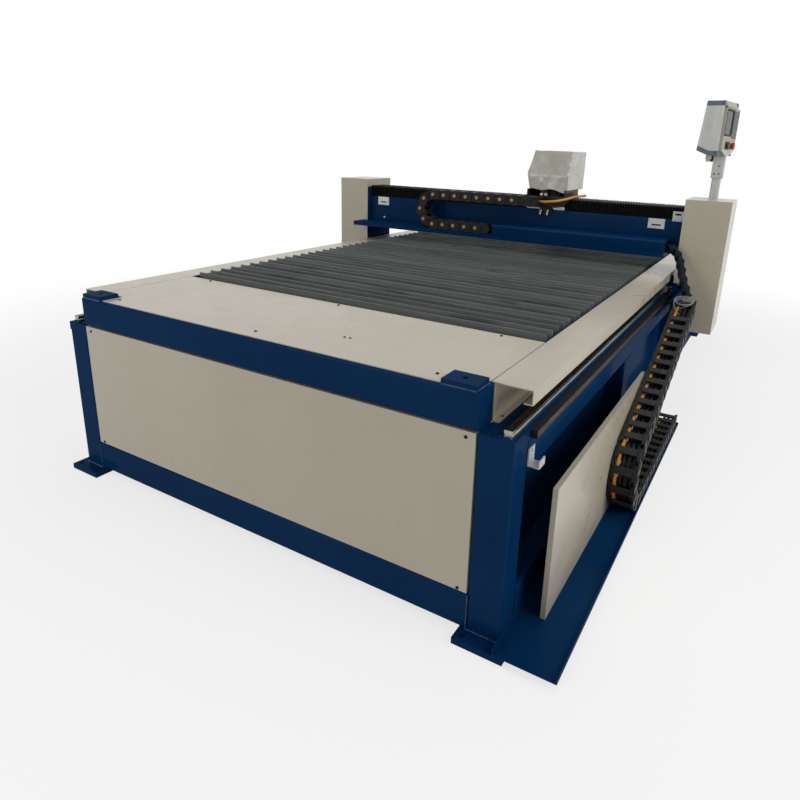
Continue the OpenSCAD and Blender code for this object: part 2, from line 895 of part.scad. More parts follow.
// one chain link from its low corner: side plates joined by crossbars at both faces
module link(p, w, h) {
    l = p - link_gap;
    for (y = [0, w - link_side])
        translate([link_gap / 2, y + link_side, 0]) rotate([90, 0, 0]) linear_extrude(link_side)
            translate([l / 2, h / 2]) rounded(l, h, link_side);
    for (z = [0, h - link_bar])
        block([p / 2 - link_bar_l / 2, link_side, z], [link_bar_l, w - 2 * link_side, link_bar]);
}

// straight run of n links along +X, its axis on z = 0
module run(n, p, w, h) {
    for (i = [0 : n - 1]) translate([i * p, 0, -h / 2]) link(p, w, h);
}

// bend of links from straight down to a given turn, centre on the axis, joined at round pivots;
// a tongue at each end meets the first link of the straight run
pivot_share = 0.3;
module bend_side(turn, n, r, h) {
    step = turn / n;
    l = bend_len(turn, n, r, h);
    tongue = h / 2 * sin(step / 2) + link_side;
    for (i = [0 : n - 1]) rotate(-(i + 1 / 2) * step) translate([0, -r])
        rounded(l - link_gap, h, link_side);
    for (i = [1 : n - 1]) rotate(-i * step) translate([0, -r]) circle(r = h * pivot_share);
    translate([-tongue, -r - h * pivot_share / 2])
        square([tongue - link_gap / 2, h * pivot_share]);
    rotate(-turn) translate([link_gap / 2, -r - h * pivot_share / 2])
        square([tongue - link_gap / 2, h * pivot_share]);
}
module bend(turn, n, r, w, h) {
    for (y = [link_side, w]) translate([0, y, 0]) rotate([90, 0, 0]) linear_extrude(link_side)
        bend_side(turn, n, r, h);
    for (i = [0 : n - 1], z = [-r - h / 2 + bar_set, -r + h / 2 - bar_set - link_bar])
        rotate([0, (i + 1 / 2) * turn / n, 0])
            block([-link_bar_l / 2, link_side - seam, z],
                [link_bar_l, w - 2 * link_side + 2 * seam, link_bar]);
}

// length that neighbouring links of a bend leave clear at its inner side
function bend_len(turn, n, r, h) = 2 * (r - h / 2) * tan(turn / n / 2);

module y_chain_lower() color(black) {
    translate([ychain_x + ylink_w, ybend_y, z_ylow + ylink_h / 2])
        rotate([0, 0, 90]) run(ylow_n, ylink_p, ylink_w, ylink_h);
}

module y_chain_upper() color(black) {
    translate([ychain_x + ylink_w, yup_y, yup_z]) rotate([yslope, 0, 0]) rotate([0, 0, 90])
        run(yup_n, ylink_p, ylink_w, ylink_h);
}

ybend_n = 6;
module y_chain_bend() color(black) {
    translate([ychain_x + ylink_w, ybend_y, z_ybend]) rotate([0, 0, 90])
        bend(180 - yslope, ybend_n, ybend_r, ylink_w, ylink_h);
}

// folded steel brackets for the travel switches, on the side beams; the back tab has a hole
stop_len = 40;
stop_t = 4;
stop_tab = 34;
stop_z_share = 0.25;
tab_share = 0.45;
stop_hole_r = 5;
module limit_brackets() color(steel) {
    z0 = z_beam + side_beam_h * stop_z_share;
    h = side_beam_h * (1 - 2 * stop_z_share);
    x0 = leg_out;
    x1 = leg_out + stop_tab;
    sides() ends() difference() {
        along_y(-half_l + leg, stop_len)
            polygon([[x0, z0], [x1, z0], [x1, z0 + h * tab_share], [x1 - stop_t, z0 + h * tab_share],
                [x1 - stop_t, z0 + stop_t], [x0 + stop_t, z0 + stop_t], [x0 + stop_t, z0 + h], [x0, z0 + h]]);
        translate([x0 - cut, -half_l + leg + stop_len / 2, z0 + h * (1 - tab_share / 2)]) rotate([0, 90, 0])
            cylinder(r = stop_hole_r, h = stop_t + 2 * cut);
    }
}

// end plates of the gantry with the feet that stand on the rail blocks
module end_plates() color(blue) {
    z0 = z_cov0 + end_low;
    foot_in = cov_in - rail_x + block_w / 2;
    sides() {
        difference() {
            block([cov_in, end_y0, z0], [end_t, end_d, z_cov - end_top - z0]);
            translate([cov_in - cut, pinion_y, z_pinion]) rotate([0, 90, 0])
                cylinder(r = shaft_r + shaft_clear, h = end_t + 2 * cut);
        }
        block([cov_in - foot_in, end_y0 + gfoot_set, z_gfoot],
            [foot_in, end_d - 2 * gfoot_set, gfoot_t]);
    }
}

// block outline round a rail section
module block_section(w, top, low, rw, rh, c) {
    difference() {
        translate([-w / 2, low]) square([w, top - low]);
        translate([-rw / 2 - c, -cut]) square([rw + 2 * c, rh + c + cut]);
    }
}

module rail_blocks() color(steel) {
    sides() for (y = [end_y0 + gfoot_set, end_y0 + end_d - gfoot_set - block_l])
        translate([rail_x, 0, z_rail]) along_y(y, block_l)
            block_section(block_w, block_top, block_low, rail_w, rail_h, block_clear);
}

module beam() color(blue) {
    translate([0, beam_y0 + beam_d / 2, z_gbeam + beam_h / 2])
        tube_x(2 * cov_in, beam_d, beam_h, beam_wall);
}

// face of a gantry cover with the notch that clears the rail side
module cover_face() {
    polygon([[cov_in, z_notch], [cov_in + notch_w, z_notch], [cov_in + notch_w, z_cov0],
        [cov_out, z_cov0], [cov_out, z_cov], [cov_in, z_cov]]);
}

// folded sheet cover over an end of the gantry, open below and towards the beam
module gantry_cover() {
    along_y(gantry_y, sheet_t) cover_face();
    along_y(gantry_y + cover_d - sheet_t, sheet_t) cover_face();
    block([cov_out - sheet_t, gantry_y, z_cov0], [sheet_t, cover_d, cover_h]);
    block([cov_in, gantry_y, z_cov - sheet_t], [cover_w, cover_d, sheet_t]);
    block([cov_in, gantry_y, z_cov - cover_lip], [sheet_t, cover_d, cover_lip]);
}

module left_cover() color(beige) mirror([1, 0, 0]) gantry_cover();

module right_cover() color(beige) gantry_cover();

// gearbox and motor bolted to each end plate
flange_share = 0.15;
module y_motors() color(black) {
    sides() translate([cov_in + end_t, pinion_y, z_pinion]) {
        translate([0, -gearbox_side / 2, -gearbox_side / 2])
            cube([gearbox_l * flange_share, gearbox_side, gearbox_side]);
        rotate([0, 90, 0]) cylinder(d = gearbox_side, h = gearbox_l);
        translate([gearbox_l, 0, 0]) rotate([90, 0, 90]) linear_extrude(motor_l)
            rounded(motor_side, motor_side, tube_r);
    }
}

// pinion under the rack, with its shaft through the end plate
pinion_side = 1.5;
module y_pinion() {
    w = rack_w - 2 * pinion_side;
    translate([leg_out + pinion_side, pinion_y, z_pinion]) {
        along_x(0, w) pinion_outline(mod_y, teeth_y, gear_play);
        translate([w, 0, 0]) rotate([0, 90, 0])
            cylinder(r = shaft_r, h = cov_in + end_t - leg_out - pinion_side - w);
    }
}

module left_pinion() color(steel) mirror([1, 0, 0]) y_pinion();

module right_pinion() color(steel) y_pinion();

module x_rails() color(steel) {
    for (y = [beam_y0 + xrail_in, beam_y1 - xrail_in])
        translate([0, y, z_xrail]) along_x(-cov_in + seam, 2 * cov_in - 2 * seam)
            rail_section(xrail_w, xrail_h);
}

module x_rack() color(dark) {
    len = cov_in - xrack_set;
    k_lo = ceil((-len - car_x) / pitch_x);
    k_hi = floor((len - car_x) / pitch_x);
    translate([car_x, y_xpitch, z_xrack]) linear_extrude(xrack_h) mirror([0, 1, 0])
        rack_outline(mod_x, k_lo, k_hi - k_lo, xrack_d - mod_x, gear_play);
}

// shelf under the cross chain with a folded front lip; its left end passes the cover
module chain_shelf() color(blue) {
    x0 = -cov_in + seam;
    l = 2 * cov_in - shelf_right - seam;
    along_x(x0, l)
        polygon([[shelf_y0, z_shelf], [beam_y0, z_shelf], [beam_y0, z_shelf - shelf_t],
            [shelf_y0 + shelf_t, z_shelf - shelf_t],
            [shelf_y0 + shelf_t, z_shelf - shelf_lip], [shelf_y0, z_shelf - shelf_lip]]);
    along_x(x0 - shelf_left, shelf_left)
        polygon([[shelf_y0, z_shelf], [gantry_y - seam, z_shelf],
            [gantry_y - seam, z_shelf - shelf_t], [shelf_y0 + shelf_t, z_shelf - shelf_t],
            [shelf_y0 + shelf_t, z_shelf - shelf_lip], [shelf_y0, z_shelf - shelf_lip]]);
}

// folded duct over the fixed cables, from the fixed chain end to the shelf end
module cable_duct() color(blue) {
    x0 = xbend_x + (xlow_n + 1 / 2) * xlink_p;
    y0 = shelf_y0 + duct_set;
    zt = z_shelf + duct_h;
    t = shelf_t;
    along_x(x0, cov_in - shelf_right - x0)
        polygon([[y0, z_shelf], [y0 + t, z_shelf], [y0 + t, zt - duct_slope - t / 2],
            [y0 + duct_slope + t / 2, zt - t], [beam_y0, zt - t], [beam_y0, zt],
            [y0 + duct_slope, zt], [y0, zt - duct_slope]]);
}

module x_chain_lower() color(black) {
    translate([xbend_x, xchain_y0, z_xlow + xlink_h / 2]) {
        run(xlow_n, xlink_p, xlink_w, xlink_h);
        translate([xlow_n * xlink_p, 0, -xlink_h / 2])
            cube([xlink_p / 2, xlink_w, link_bar]);
    }
}

module x_chain_upper() color(black) {
    translate([xbend_x, xchain_y0, z_xup + xlink_h / 2])
        run(xup_n, xlink_p, xlink_w, xlink_h);
}

xbend_n = 5;
module x_chain_bend() color(black) {
    translate([xbend_x, xchain_y0, z_xlow + xlink_h / 2 + xbend_r])
        bend(180, xbend_n, xbend_r, xlink_w, xlink_h);
}

// slotted sensor plates on the front of the beam, right and left
sensor_w = 80;
sensor_h = 49;
sensor_t = 3;
sensor_slot = 8;
sensor_sets = [87, 58];
sensor_drop = 2;
slot_share = 0.55;
slot_up_share = 0.28;
module sensor_plate(set) {
    x0 = cov_in - set - sensor_w;
    z0 = z_gtop - sensor_drop - sensor_h;
    difference() {
        block([x0, beam_y0 - sensor_t, z0], [sensor_w, sensor_t, sensor_h]);
        block([x0 + sensor_w * (1 - slot_share) / 2, beam_y0 - sensor_t - cut, z0 + sensor_h * slot_up_share],
            [sensor_w * slot_share, sensor_t + 2 * cut, sensor_slot]);
    }
}
module sensor_plates() color(steel) {
    sensor_plate(sensor_sets[0]);
    mirror([1, 0, 0]) sensor_plate(sensor_sets[1]);
}

// zigzag strip from x0 over length l, between 0 and the fold depth
module zigzag(x0, l) {
    n = round(l / fold_p);
    p = l / n;
    polygon(concat(
        [for (i = [0 : 2 * n]) [x0 + i * p / 2, (i % 2) * (fold_d - fold_t)]],
        [for (i = [2 * n : -1 : 0]) [x0 + i * p / 2, (i % 2) * (fold_d - fold_t) + fold_t]]));
}

// folded bellows over the cross rails: a folded top and two folded sides
module bellows(x0, x1) {
    l = x1 - x0;
    y0 = beam_y0 + fold_t;
    y1 = beam_y1 - fold_t;
    zt = z_gtop + bellows_h;
    translate([0, y1, zt - fold_d]) rotate([90, 0, 0]) linear_extrude(y1 - y0) zigzag(x0, l);
    translate([0, y0 + fold_d, z_gtop]) linear_extrude(bellows_h - fold_d - seam)
        mirror([0, 1]) zigzag(x0, l);
    translate([0, y1 - fold_d, z_gtop]) linear_extrude(bellows_h - fold_d - seam)
        zigzag(x0, l);
}

module bellows_left() color(black) {
    bellows(-cov_in + bellows_gap, car_x - car_w / 2 - bellows_gap);
}

module bellows_right() color(black) {
    bellows(car_x + car_w / 2 + bellows_gap, cov_in - bellows_gap);
}

// post and sleeve that carry the control box, and the neck below its front frame
module pole() color(steel) {
    at_box() translate([box_front, 0, 0]) rotate([90, 0, 90]) linear_extrude(bezel_t) {
        zt = boxcap_h + bezel_in - seam;
        polygon([[-sleeve_w / 2, seam], [sleeve_w / 2, seam], [box_w / 2 - bezel_in, zt], [bezel_in - box_w / 2, zt]]);
    }
    translate([pole_x, pole_yy, z_cov]) {
        tube_z(pole_h, pole_w, pole_w, pole_wall);
        translate([0, 0, pole_h + seam]) difference() {
            translate([-sleeve_w / 2, -sleeve_w / 2, 0])
                cube([sleeve_w, sleeve_w, sleeve_h - seam - pole_wall]);
            translate([-sleeve_w / 2 + pole_wall, -sleeve_w / 2 + pole_wall, pole_wall])
                cube([sleeve_w - 2 * pole_wall, sleeve_w - 2 * pole_wall, sleeve_h]);
        }
    }
}

// places children in the control box frame: origin under the box at the pole axis
module at_box() {
    translate([pole_x, pole_yy, z_box]) rotate([0, 0, -box_turn]) children();
}

// side outline of the control box: the underside is flat over the sleeve and rises to the back,
// and the back leans forward
function box_back(z) = box_front - box_d + box_taper * z / box_h;
module box_outline(z0, z1) {
    zb = box_dip + z0;
    polygon([[box_back(zb), zb], [-sleeve_w / 2, z0], [box_front, z0], [box_front, z1], [box_back(z1), z1]]);
}

module box_slab(z0, z1) {
    translate([0, box_w / 2, 0]) rotate([90, 0, 0]) linear_extrude(box_w) box_outline(z0, z1);
}

// control box housing between its end caps, with the bores of the button stems
module control_box() color(steel) {
    at_box() difference() {
        box_slab(boxcap_h, box_h - boxcap_h);
        for (s = [-1, 1]) stem_bore(s);
    }
}

module box_caps() color(dark) {
    at_box() {
        difference() {
            box_slab(0, box_h - boxcap_h);
            translate([0, cut, 0]) box_slab(boxcap_h, box_h);
            translate([0, -cut, 0]) box_slab(boxcap_h, box_h);
        }
        translate([0, box_w / 2, 0]) rotate([90, 0, 0]) linear_extrude(box_w)
            polygon([[box_back(box_h - boxcap_h), box_h - boxcap_h], [box_front, box_h - boxcap_h],
                [box_front, box_h], [box_back(box_h), box_h]]);
    }
}

bezel_x = box_front;
z_button = boxcap_h + bezel_in + stop_r + press_t;
module stem_bore(s) {
    translate([bezel_x - stop_h, s * stop_r * 2, z_button]) rotate([0, 90, 0])
        cylinder(r = stem_r + stem_clear, h = stop_h + bezel_t + cut);
}

// front frame with the screen recess
module screen_bezel() color(dark) {
    at_box() difference() {
        translate([bezel_x, -box_w / 2 + bezel_in, boxcap_h + bezel_in])
            cube([bezel_t, box_w - 2 * bezel_in, box_h - 2 * boxcap_h - 2 * bezel_in]);
        translate([bezel_x + bezel_t - screen_set, -box_w / 2 + 3 * bezel_in,
            box_h - boxcap_h - 3 * bezel_in - screen_h])
            cube([bezel_t, screen_w, screen_h]);
        for (s = [-1, 1]) stem_bore(s);
    }
}

// sloping shade over the screen
module screen_shade() color(beige) {
    at_box() translate([0, box_w / 2, 0]) rotate([90, 0, 0]) linear_extrude(box_w)
        polygon([[bezel_x, box_h - boxcap_h], [bezel_x + shade_d, box_h - shade_h],
            [bezel_x + shade_d, box_h - shade_h + sheet_t], [bezel_x, box_h]]);
}

// press heads: the emergency stop and the start button
module stop_head() color([0.7, 0.1, 0.08]) {
    at_box() translate([bezel_x - stop_h + press_t, stop_r * 2, z_button]) rotate([0, 90, 0]) {
        cylinder(r = stem_r, h = stop_h + bezel_t);
        translate([0, 0, stop_h + bezel_t]) cylinder(r = stop_r, h = stop_h);
    }
}

module start_button() color([0.1, 0.35, 0.2]) {
    at_box() translate([bezel_x - stop_h + press_t, -stop_r * 2, z_button]) rotate([0, 90, 0]) {
        cylinder(r = stem_r, h = stop_h + bezel_t);
        translate([0, 0, stop_h + bezel_t]) cylinder(r = button_r, h = button_h);
    }
}

// round cord of radius r through points, as a smooth curve in n steps
cord_sides = 10;
function cr(a, b, c, d, t) = ((2 * b) + (c - a) * t + (2 * a - 5 * b + 4 * c - d) * t * t
    + (3 * b - a - 3 * c + d) * t * t * t) / 2;
function cord_at(pts, u) = let (n = len(pts) - 1, s = min(u * n, n - 1 / 1000), i = floor(s), t = s - i)
    cr(pts[max(i - 1, 0)], pts[i], pts[i + 1], pts[min(i + 2, n)], t);
function unit(v) = v / norm(v);
module cord(pts, r, n) {
    m = cord_sides;
    ring = [for (i = [0 : n]) let (u = i / n,
            d = unit(cord_at(pts, min(u + 1 / 200, 1)) - cord_at(pts, max(u - 1 / 200, 0))),
            a = unit(cross(d, [0, 0, 1])), b = cross(a, d), c = cord_at(pts, u))
        each [for (k = [0 : m - 1]) let (t = k * 360 / m) c + r * (a * cos(t) + b * sin(t))]];
    quads = [for (i = [0 : n - 1]) for (k = [0 : m - 1]) let (k2 = (k + 1) % m)
        each [[i * m + k, (i + 1) * m + k, i * m + k2], [i * m + k2, (i + 1) * m + k, (i + 1) * m + k2]]];
    caps = concat([for (k = [1 : m - 2]) [0, k, k + 1]],
        [for (k = [1 : m - 2]) [n * m, n * m + k + 1, n * m + k]]);
    polyhedron(points = ring, faces = concat(quads, caps), convexity = 6);
}

// points between two corners, as shares of the way on each axis
function between(lo, hi, shares) = [for (f = shares) [for (k = [0 : 2]) lo[k] + f[k] * (hi[k] - lo[k])]];

// cable bundle from the duct to the moving end of the length chain
cord_n = 24;
bundle_end_shares = [0.32, 0.65];
bundle_shares = [[0, 0, 0], [0.127, 0, 0], [0.33, 0.038, 0.047], [0.52, 0.18, 0.2], [0.65, 0.397, 0.422],
    [0.77, 0.641, 0.656], [0.895, 0.859, 0.859], [1, 1, 1]];
bundle_mid_share = 0.46;
module cable_bundle() color([0.05, 0.07, 0.12]) {
    a = [cov_in - shelf_right - bundle_in, shelf_y0 + shelf_d * bundle_mid_share,
        z_shelf + bundle_r + chain_seat];
    b = [ychain_x + ylink_w / 2, yend_y + ylink_h * bundle_end_shares[0],
        yend_z + ylink_h * bundle_end_shares[1]];
    cord(between(a, b, bundle_shares), bundle_r, cord_n);
}

// torch lead from the chain bracket round the carriage side to the lifter housing
lead_shares = [[0, 0, 0], [0.098, 0, 0], [0.327, 0.013, 0.108], [0.549, 0.054, 0.26], [0.736, 0.12, 0.495],
    [0.879, 0.206, 0.764], [0.968, 0.309, 0.966], [1, 0.415, 1], [1, 0.61, 1], [1, 0.825, 0.966],
    [0.949, 0.914, 0.865], [0.809, 0.977, 0.731]];
module torch_lead() color([0.75, 0.45, 0.15]) {
    a = [xbend_x + xup_n * xlink_p + shelf_t + chain_seat, xchain_y0 + xlink_w / 2, z_xup + xlink_h / 2];
    b = [car_x + car_w / 2 + lead_out, lift_y0 + lift_d / 2, z_gtop + bellows_h + lead_r + lead_lift];
    end = [car_x + lift_w / 2 + chain_seat, b[1], z_cartop + 2 * lead_r];
    cord(concat(between(a, b, lead_shares), [end + [2 * lead_r, 0, 0], end]), lead_r, 2 * cord_n);
}

// arm from the right end plate to the moving end of the length chain
arm_lap = 76;
module y_chain_bracket() color(blue) {
    y0 = yend_y - ylink_p;
    z0 = yend_z - ylink_p * sin(yslope) - ylink_h / 2;
    h = ylink_h + ylink_p * sin(yslope);
    block([cov_in + end_t + arm_out, y0, z0], [end_t / 2, end_y0 + arm_lap - y0, h]);
    block([cov_in + end_t, end_y0, z0], [arm_out + cut, arm_lap, h]);
}

// carriage plate with side plates, on the cross rail blocks
module carriage_plate() color(black) {
    difference() {
        block([car_x - car_w / 2, car_y0, z_car], [car_w, car_y1 - car_y0, car_t]);
        translate([car_x, y_xpinion, z_car - cut])
            cylinder(r = shaft_r + shaft_clear, h = car_t + 2 * cut);
    }
    for (s = [-1, 1])
        translate([car_x + s * (car_w - car_side_t) / 2 - car_side_t / 2, car_y0, z_cartop])
            cube([car_side_t, car_y1 - car_y0, car_side_h]);
}

module x_blocks() color(steel) {
    for (y = [beam_y0 + xrail_in, beam_y1 - xrail_in])
        for (s = [-1, 1])
            translate([0, y, z_xrail])
                along_x(car_x + s * (car_w - xblock_l) / 2 - xblock_l / 2, xblock_l)
                    block_section(xblock_w, xblock_top, xblock_low, xrail_w, xrail_h, block_clear);
}

// cross motor on the carriage plate and lifter motor on the housing
module carriage_motors() color(black) {
    translate([car_x, y_xpinion, z_cartop])
        linear_extrude(xmotor_l) rounded(xmotor_side, xmotor_side, tube_r);
    translate([car_x, screw_y, z_lift1])
        linear_extrude(zmotor_l) rounded(zmotor_side, zmotor_side, tube_r);
}

// lifter housing: channel open at the back, with screw bearings at both ends
module lifter_housing() color(dark) {
    difference() {
        block([car_x - lift_w / 2, lift_y0, z_lift0], [lift_w, lift_d, z_lift1 - z_lift0]);
        block([car_x - lift_w / 2 + lift_wall, lift_y0 + lift_wall, z_lift0 + lift_end],
            [lift_w - 2 * lift_wall, lift_d, z_lift1 - z_lift0 - 2 * lift_end]);
        for (z = [z_lift0, z_lift1 - lift_end])
            translate([car_x, screw_y, z - cut])
                cylinder(r = screw_r + screw_clear, h = lift_end + 2 * cut);
    }
}

// side outline of the lifter cover: upright front, sloping upper front
module hood_outline(t) {
    y0 = hood_y0 + t;
    y1 = hood_y0 + hood_d - t;
    z0 = z_hood;
    z1 = z_hood + hood_h - t;
    polygon([[y0, z0], [y1, z0], [y1, z1], [y0 + hood_slope, z1], [y0, z0 + hood_front]]);
}

module lifter_cover() color(beige) {
    x0 = car_x - car_w / 2 + car_side_t / 4;
    w = car_w - car_side_t / 2;
    difference() {
        along_x(x0, w) hood_outline(0);
        along_x(x0 + sheet_t, w - 2 * sheet_t) hood_outline(sheet_t);
        block([x0 + sheet_t, hood_y0 + sheet_t, z_hood - cut],
            [w - 2 * sheet_t, hood_d - 2 * sheet_t, 2 * cut]);
    }
}

// angle bracket from the carriage to the moving end of the cross chain
module x_chain_bracket() color(steel) {
    x0 = xbend_x + xup_n * xlink_p;
    y0 = xchain_y0;
    block([x0, y0, z_xup], [shelf_t, car_y0 - y0, xlink_h]);
    block([x0 + shelf_t, car_y0 - shelf_t, z_xup], [car_x + car_w / 2 - x0 - shelf_t, shelf_t, xlink_h]);
}

// lifting screw from the lower bearing to the motor
module z_screw() color(steel) {
    translate([car_x, screw_y, z_lift0]) cylinder(r = screw_r, h = z_lift1 - z_lift0);
}

// nut block, slide plate and torch clamp
module z_slide() color(dark) {
    difference() {
        block([car_x - nut_w / 2, screw_y - nut_d / 2 + slide_gap, z_nut],
            [nut_w, slide_y0 - screw_y + nut_d / 2 - slide_gap, nut_h]);
        translate([car_x, screw_y, z_nut - cut])
            cylinder(r = screw_r + screw_clear, h = nut_h + 2 * cut);
    }
    block([car_x - slide_w / 2, slide_y0, z_slide], [slide_w, slide_t, slide_h]);
    difference() {
        block([car_x - torch_r - clamp_wall, slide_y0 + slide_t, z_slide],
            [2 * (torch_r + clamp_wall), torch_out + torch_r + clamp_wall, clamp_h]);
        translate([car_x, torch_y, z_slide - cut])
            cylinder(r = torch_r, h = clamp_h + 2 * cut);
    }
}

// torch: body, guard disc and tapered nozzle turned in one profile
module torch() color(black) {
    translate([car_x, torch_y, z_tiptorch]) rotate_extrude()
        polygon([[0, 0], [nozzle_r, 0], [torch_r, nozzle_l / 2], [guard_r - guard_up, guard_up],
            [guard_r, guard_up + guard_h / 2], [guard_r, guard_up + guard_h],
            [torch_r, guard_up + guard_h], [torch_r, torch_l], [0, torch_l]]);
}

module x_pinion() color(steel) {
    translate([car_x, y_xpinion, z_xrack]) {
        linear_extrude(xrack_h) rotate([0, 0, 180]) pinion_outline(mod_x, teeth_x, gear_play);
        translate([0, 0, xrack_h]) cylinder(r = shaft_r, h = z_cartop - z_xrack - xrack_h);
    }
}

foot_plates();
legs();
lower_tubes();
side_beams();
rail_strips();
cross_tubes();
bed_frame();
cap_plates();
end_panels();
inner_sheets();
top_plates();
side_covers();
slats();
slag_pan();
y_rails();
y_racks();
cable_tray();
guard_panels();
y_chain_lower();
limit_brackets();
end_plates();
rail_blocks();
beam();
left_cover();
right_cover();
y_motors();
x_rails();
x_rack();
chain_shelf();
cable_duct();
x_chain_lower();
sensor_plates();
bellows_left();
bellows_right();
pole();
control_box();
box_caps();
screen_bezel();
screen_shade();
cable_bundle();
y_chain_bracket();
y_chain_upper();
carriage_plate();
x_blocks();
carriage_motors();
lifter_housing();
lifter_cover();
x_chain_bracket();
x_chain_upper();
torch_lead();
z_screw();
z_slide();
torch();
left_pinion();
right_pinion();
x_pinion();
y_chain_bend();
x_chain_bend();
stop_head();
start_button();
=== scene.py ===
"""Looks of a gantry plasma cutting table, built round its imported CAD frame.

Lengths are written in millimetres, as on a drawing, and make() turns them to metres.
X runs across the table, Y along it away from the front panel, Z up.
"""
import math

import bpy
import numpy as np
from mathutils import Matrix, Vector


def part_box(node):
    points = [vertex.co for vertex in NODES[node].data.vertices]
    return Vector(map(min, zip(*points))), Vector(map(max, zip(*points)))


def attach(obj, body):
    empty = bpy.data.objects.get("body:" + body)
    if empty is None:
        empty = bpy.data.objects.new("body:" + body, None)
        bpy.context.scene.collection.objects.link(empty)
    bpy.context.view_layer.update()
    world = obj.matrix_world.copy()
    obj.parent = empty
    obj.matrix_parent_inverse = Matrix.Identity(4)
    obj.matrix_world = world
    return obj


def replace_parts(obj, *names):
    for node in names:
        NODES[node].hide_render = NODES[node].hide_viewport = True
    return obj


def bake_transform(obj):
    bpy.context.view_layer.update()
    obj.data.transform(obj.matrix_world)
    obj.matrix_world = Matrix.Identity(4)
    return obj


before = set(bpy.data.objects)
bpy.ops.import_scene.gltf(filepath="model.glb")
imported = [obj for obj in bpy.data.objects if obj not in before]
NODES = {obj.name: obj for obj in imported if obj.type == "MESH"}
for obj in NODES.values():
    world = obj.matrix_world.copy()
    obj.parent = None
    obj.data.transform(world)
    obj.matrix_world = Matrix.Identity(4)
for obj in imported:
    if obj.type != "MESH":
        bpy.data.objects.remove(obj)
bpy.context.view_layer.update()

MM = 0.001
X, Y, Z = np.eye(3)
TURN = 2 * np.pi
SLAT_PITCH = 60.0


def skin(points, wrap=True, caps=True):
    """Faces over a grid of points[row, column]: each row is a ring when wrap is set, and caps
    shut the first and last rings with a fan of triangles round their mean point."""
    points = np.asarray(points, float)
    rows, cols = points.shape[:2]
    r = np.arange(rows - 1)[:, None] * cols
    c = np.arange(cols if wrap else cols - 1)[None, :]
    n = (c + 1) % cols
    quads = np.stack([r + c, r + n, r + cols + n, r + cols + c], -1).reshape(-1, 4)
    verts, tris = points.reshape(-1, 3), np.zeros((0, 3), int)
    if caps:
        k = np.arange(cols)
        last = (rows - 1) * cols
        m = len(verts)
        verts = np.concatenate([verts, points[:1].mean(1), points[-1:].mean(1)])
        first_fan = np.stack([(k + 1) % cols, k, np.full(cols, m)], -1)
        last_fan = np.stack([last + k, last + (k + 1) % cols, np.full(cols, m + 1)], -1)
        tris = np.concatenate([first_fan, last_fan])
        corners = np.concatenate([quads[:, [0, 1, 2]], quads[:, [0, 2, 3]], tris])
        a, b, d = (verts[corners[:, i]] for i in range(3))
        if np.einsum("ij,ij->", a - verts[m], np.cross(b - verts[m], d - verts[m])) < 0:
            quads, tris = quads[:, ::-1], tris[:, ::-1]
    return verts, quads, tris


def make(name, parts, body=None, sharp=38):
    """A mesh object from (shape, material) pairs, in metres at the origin, smooth but for edges
    steeper than sharp degrees, that rides on a body and takes a slot's finish."""
    verts, loops, sizes, slots, mats = [], [], [], [], []
    count = 0
    for (v, quads, tris), material in parts:
        if material not in mats:
            mats.append(material)
        loops += [quads.ravel() + count, tris.ravel() + count]
        sizes += [np.full(len(quads), 4), np.full(len(tris), 3)]
        slots.append(np.full(len(quads) + len(tris), mats.index(material)))
        verts.append(v)
        count += len(v)
    verts, loops = np.concatenate(verts) * MM, np.concatenate(loops)
    sizes, slots = np.concatenate(sizes), np.concatenate(slots)
    mesh = bpy.data.meshes.new(name)
    mesh.vertices.add(len(verts))
    mesh.vertices.foreach_set("co", verts.ravel())
    mesh.loops.add(len(loops))
    mesh.loops.foreach_set("vertex_index", loops)
    mesh.polygons.add(len(sizes))
    mesh.polygons.foreach_set("loop_start", np.cumsum(sizes) - sizes)
    mesh.polygons.foreach_set("material_index", slots)
    mesh.polygons.foreach_set("use_smooth", np.ones(len(sizes), bool))
    mesh.update(calc_edges=True)
    mesh.set_sharp_from_angle(angle=math.radians(sharp))
    for material in mats:
        mesh.materials.append(material)
    piece = bpy.data.objects.new(name, mesh)
    bpy.context.scene.collection.objects.link(piece)
    if body:
        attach(piece, body)
    return piece


def ring(count):
    """Unit circle of count points as (cos, sin) columns."""
    t = np.arange(count) / count * TURN
    return np.stack([np.cos(t), np.sin(t)], -1)


def rounded(w, h, r, n=4):
    """Outline of a w by h rectangle with corners of radius r: each corner is a quarter circle
    of n points about a point r in from both sides."""
    t = (np.arange(n) / (n - 1) + np.arange(4)[:, None]) * np.pi / 2
    sx, sy = np.array([1, -1, -1, 1]), np.array([1, 1, -1, -1])
    x = sx[:, None] * (w / 2 - r) + r * np.cos(t)
    y = sy[:, None] * (h / 2 - r) + r * np.sin(t)
    return np.stack([x.ravel(), y.ravel()], -1)


def inset(outline, d):
    """Outline moved inward by d along the mean normal of its two sides at each point."""
    side = np.roll(outline, -1, 0) - outline
    length = np.maximum(np.linalg.norm(side, axis=1, keepdims=True), 1e-9)
    n = np.stack([-side[:, 1], side[:, 0]], -1) / length
    mean = n + np.roll(n, 1, 0)
    scale = np.maximum((mean * mean).sum(1, keepdims=True), 0.5)
    return outline + 2 * d * mean / scale


def place(flat, height, at, u, v, w):
    """Points at + flat.x u + flat.y v + height w."""
    return np.asarray(at) + flat[..., :1] * u + flat[..., 1:] * v + height[..., None] * w


def plate(outline, t, at, edge, u=X, v=Y, w=Z):
    """Closed plate: an outline in u and v carried from 0 to t along w, its two rims drawn in by
    edge to a small bevel."""
    e = min(edge, t / 3)
    rows = np.stack([inset(outline, e), outline, outline, inset(outline, e)])
    height = np.array([0, e, t - e, t])[:, None] * np.ones(len(outline))
    return skin(place(rows, height, at, u, v, w))


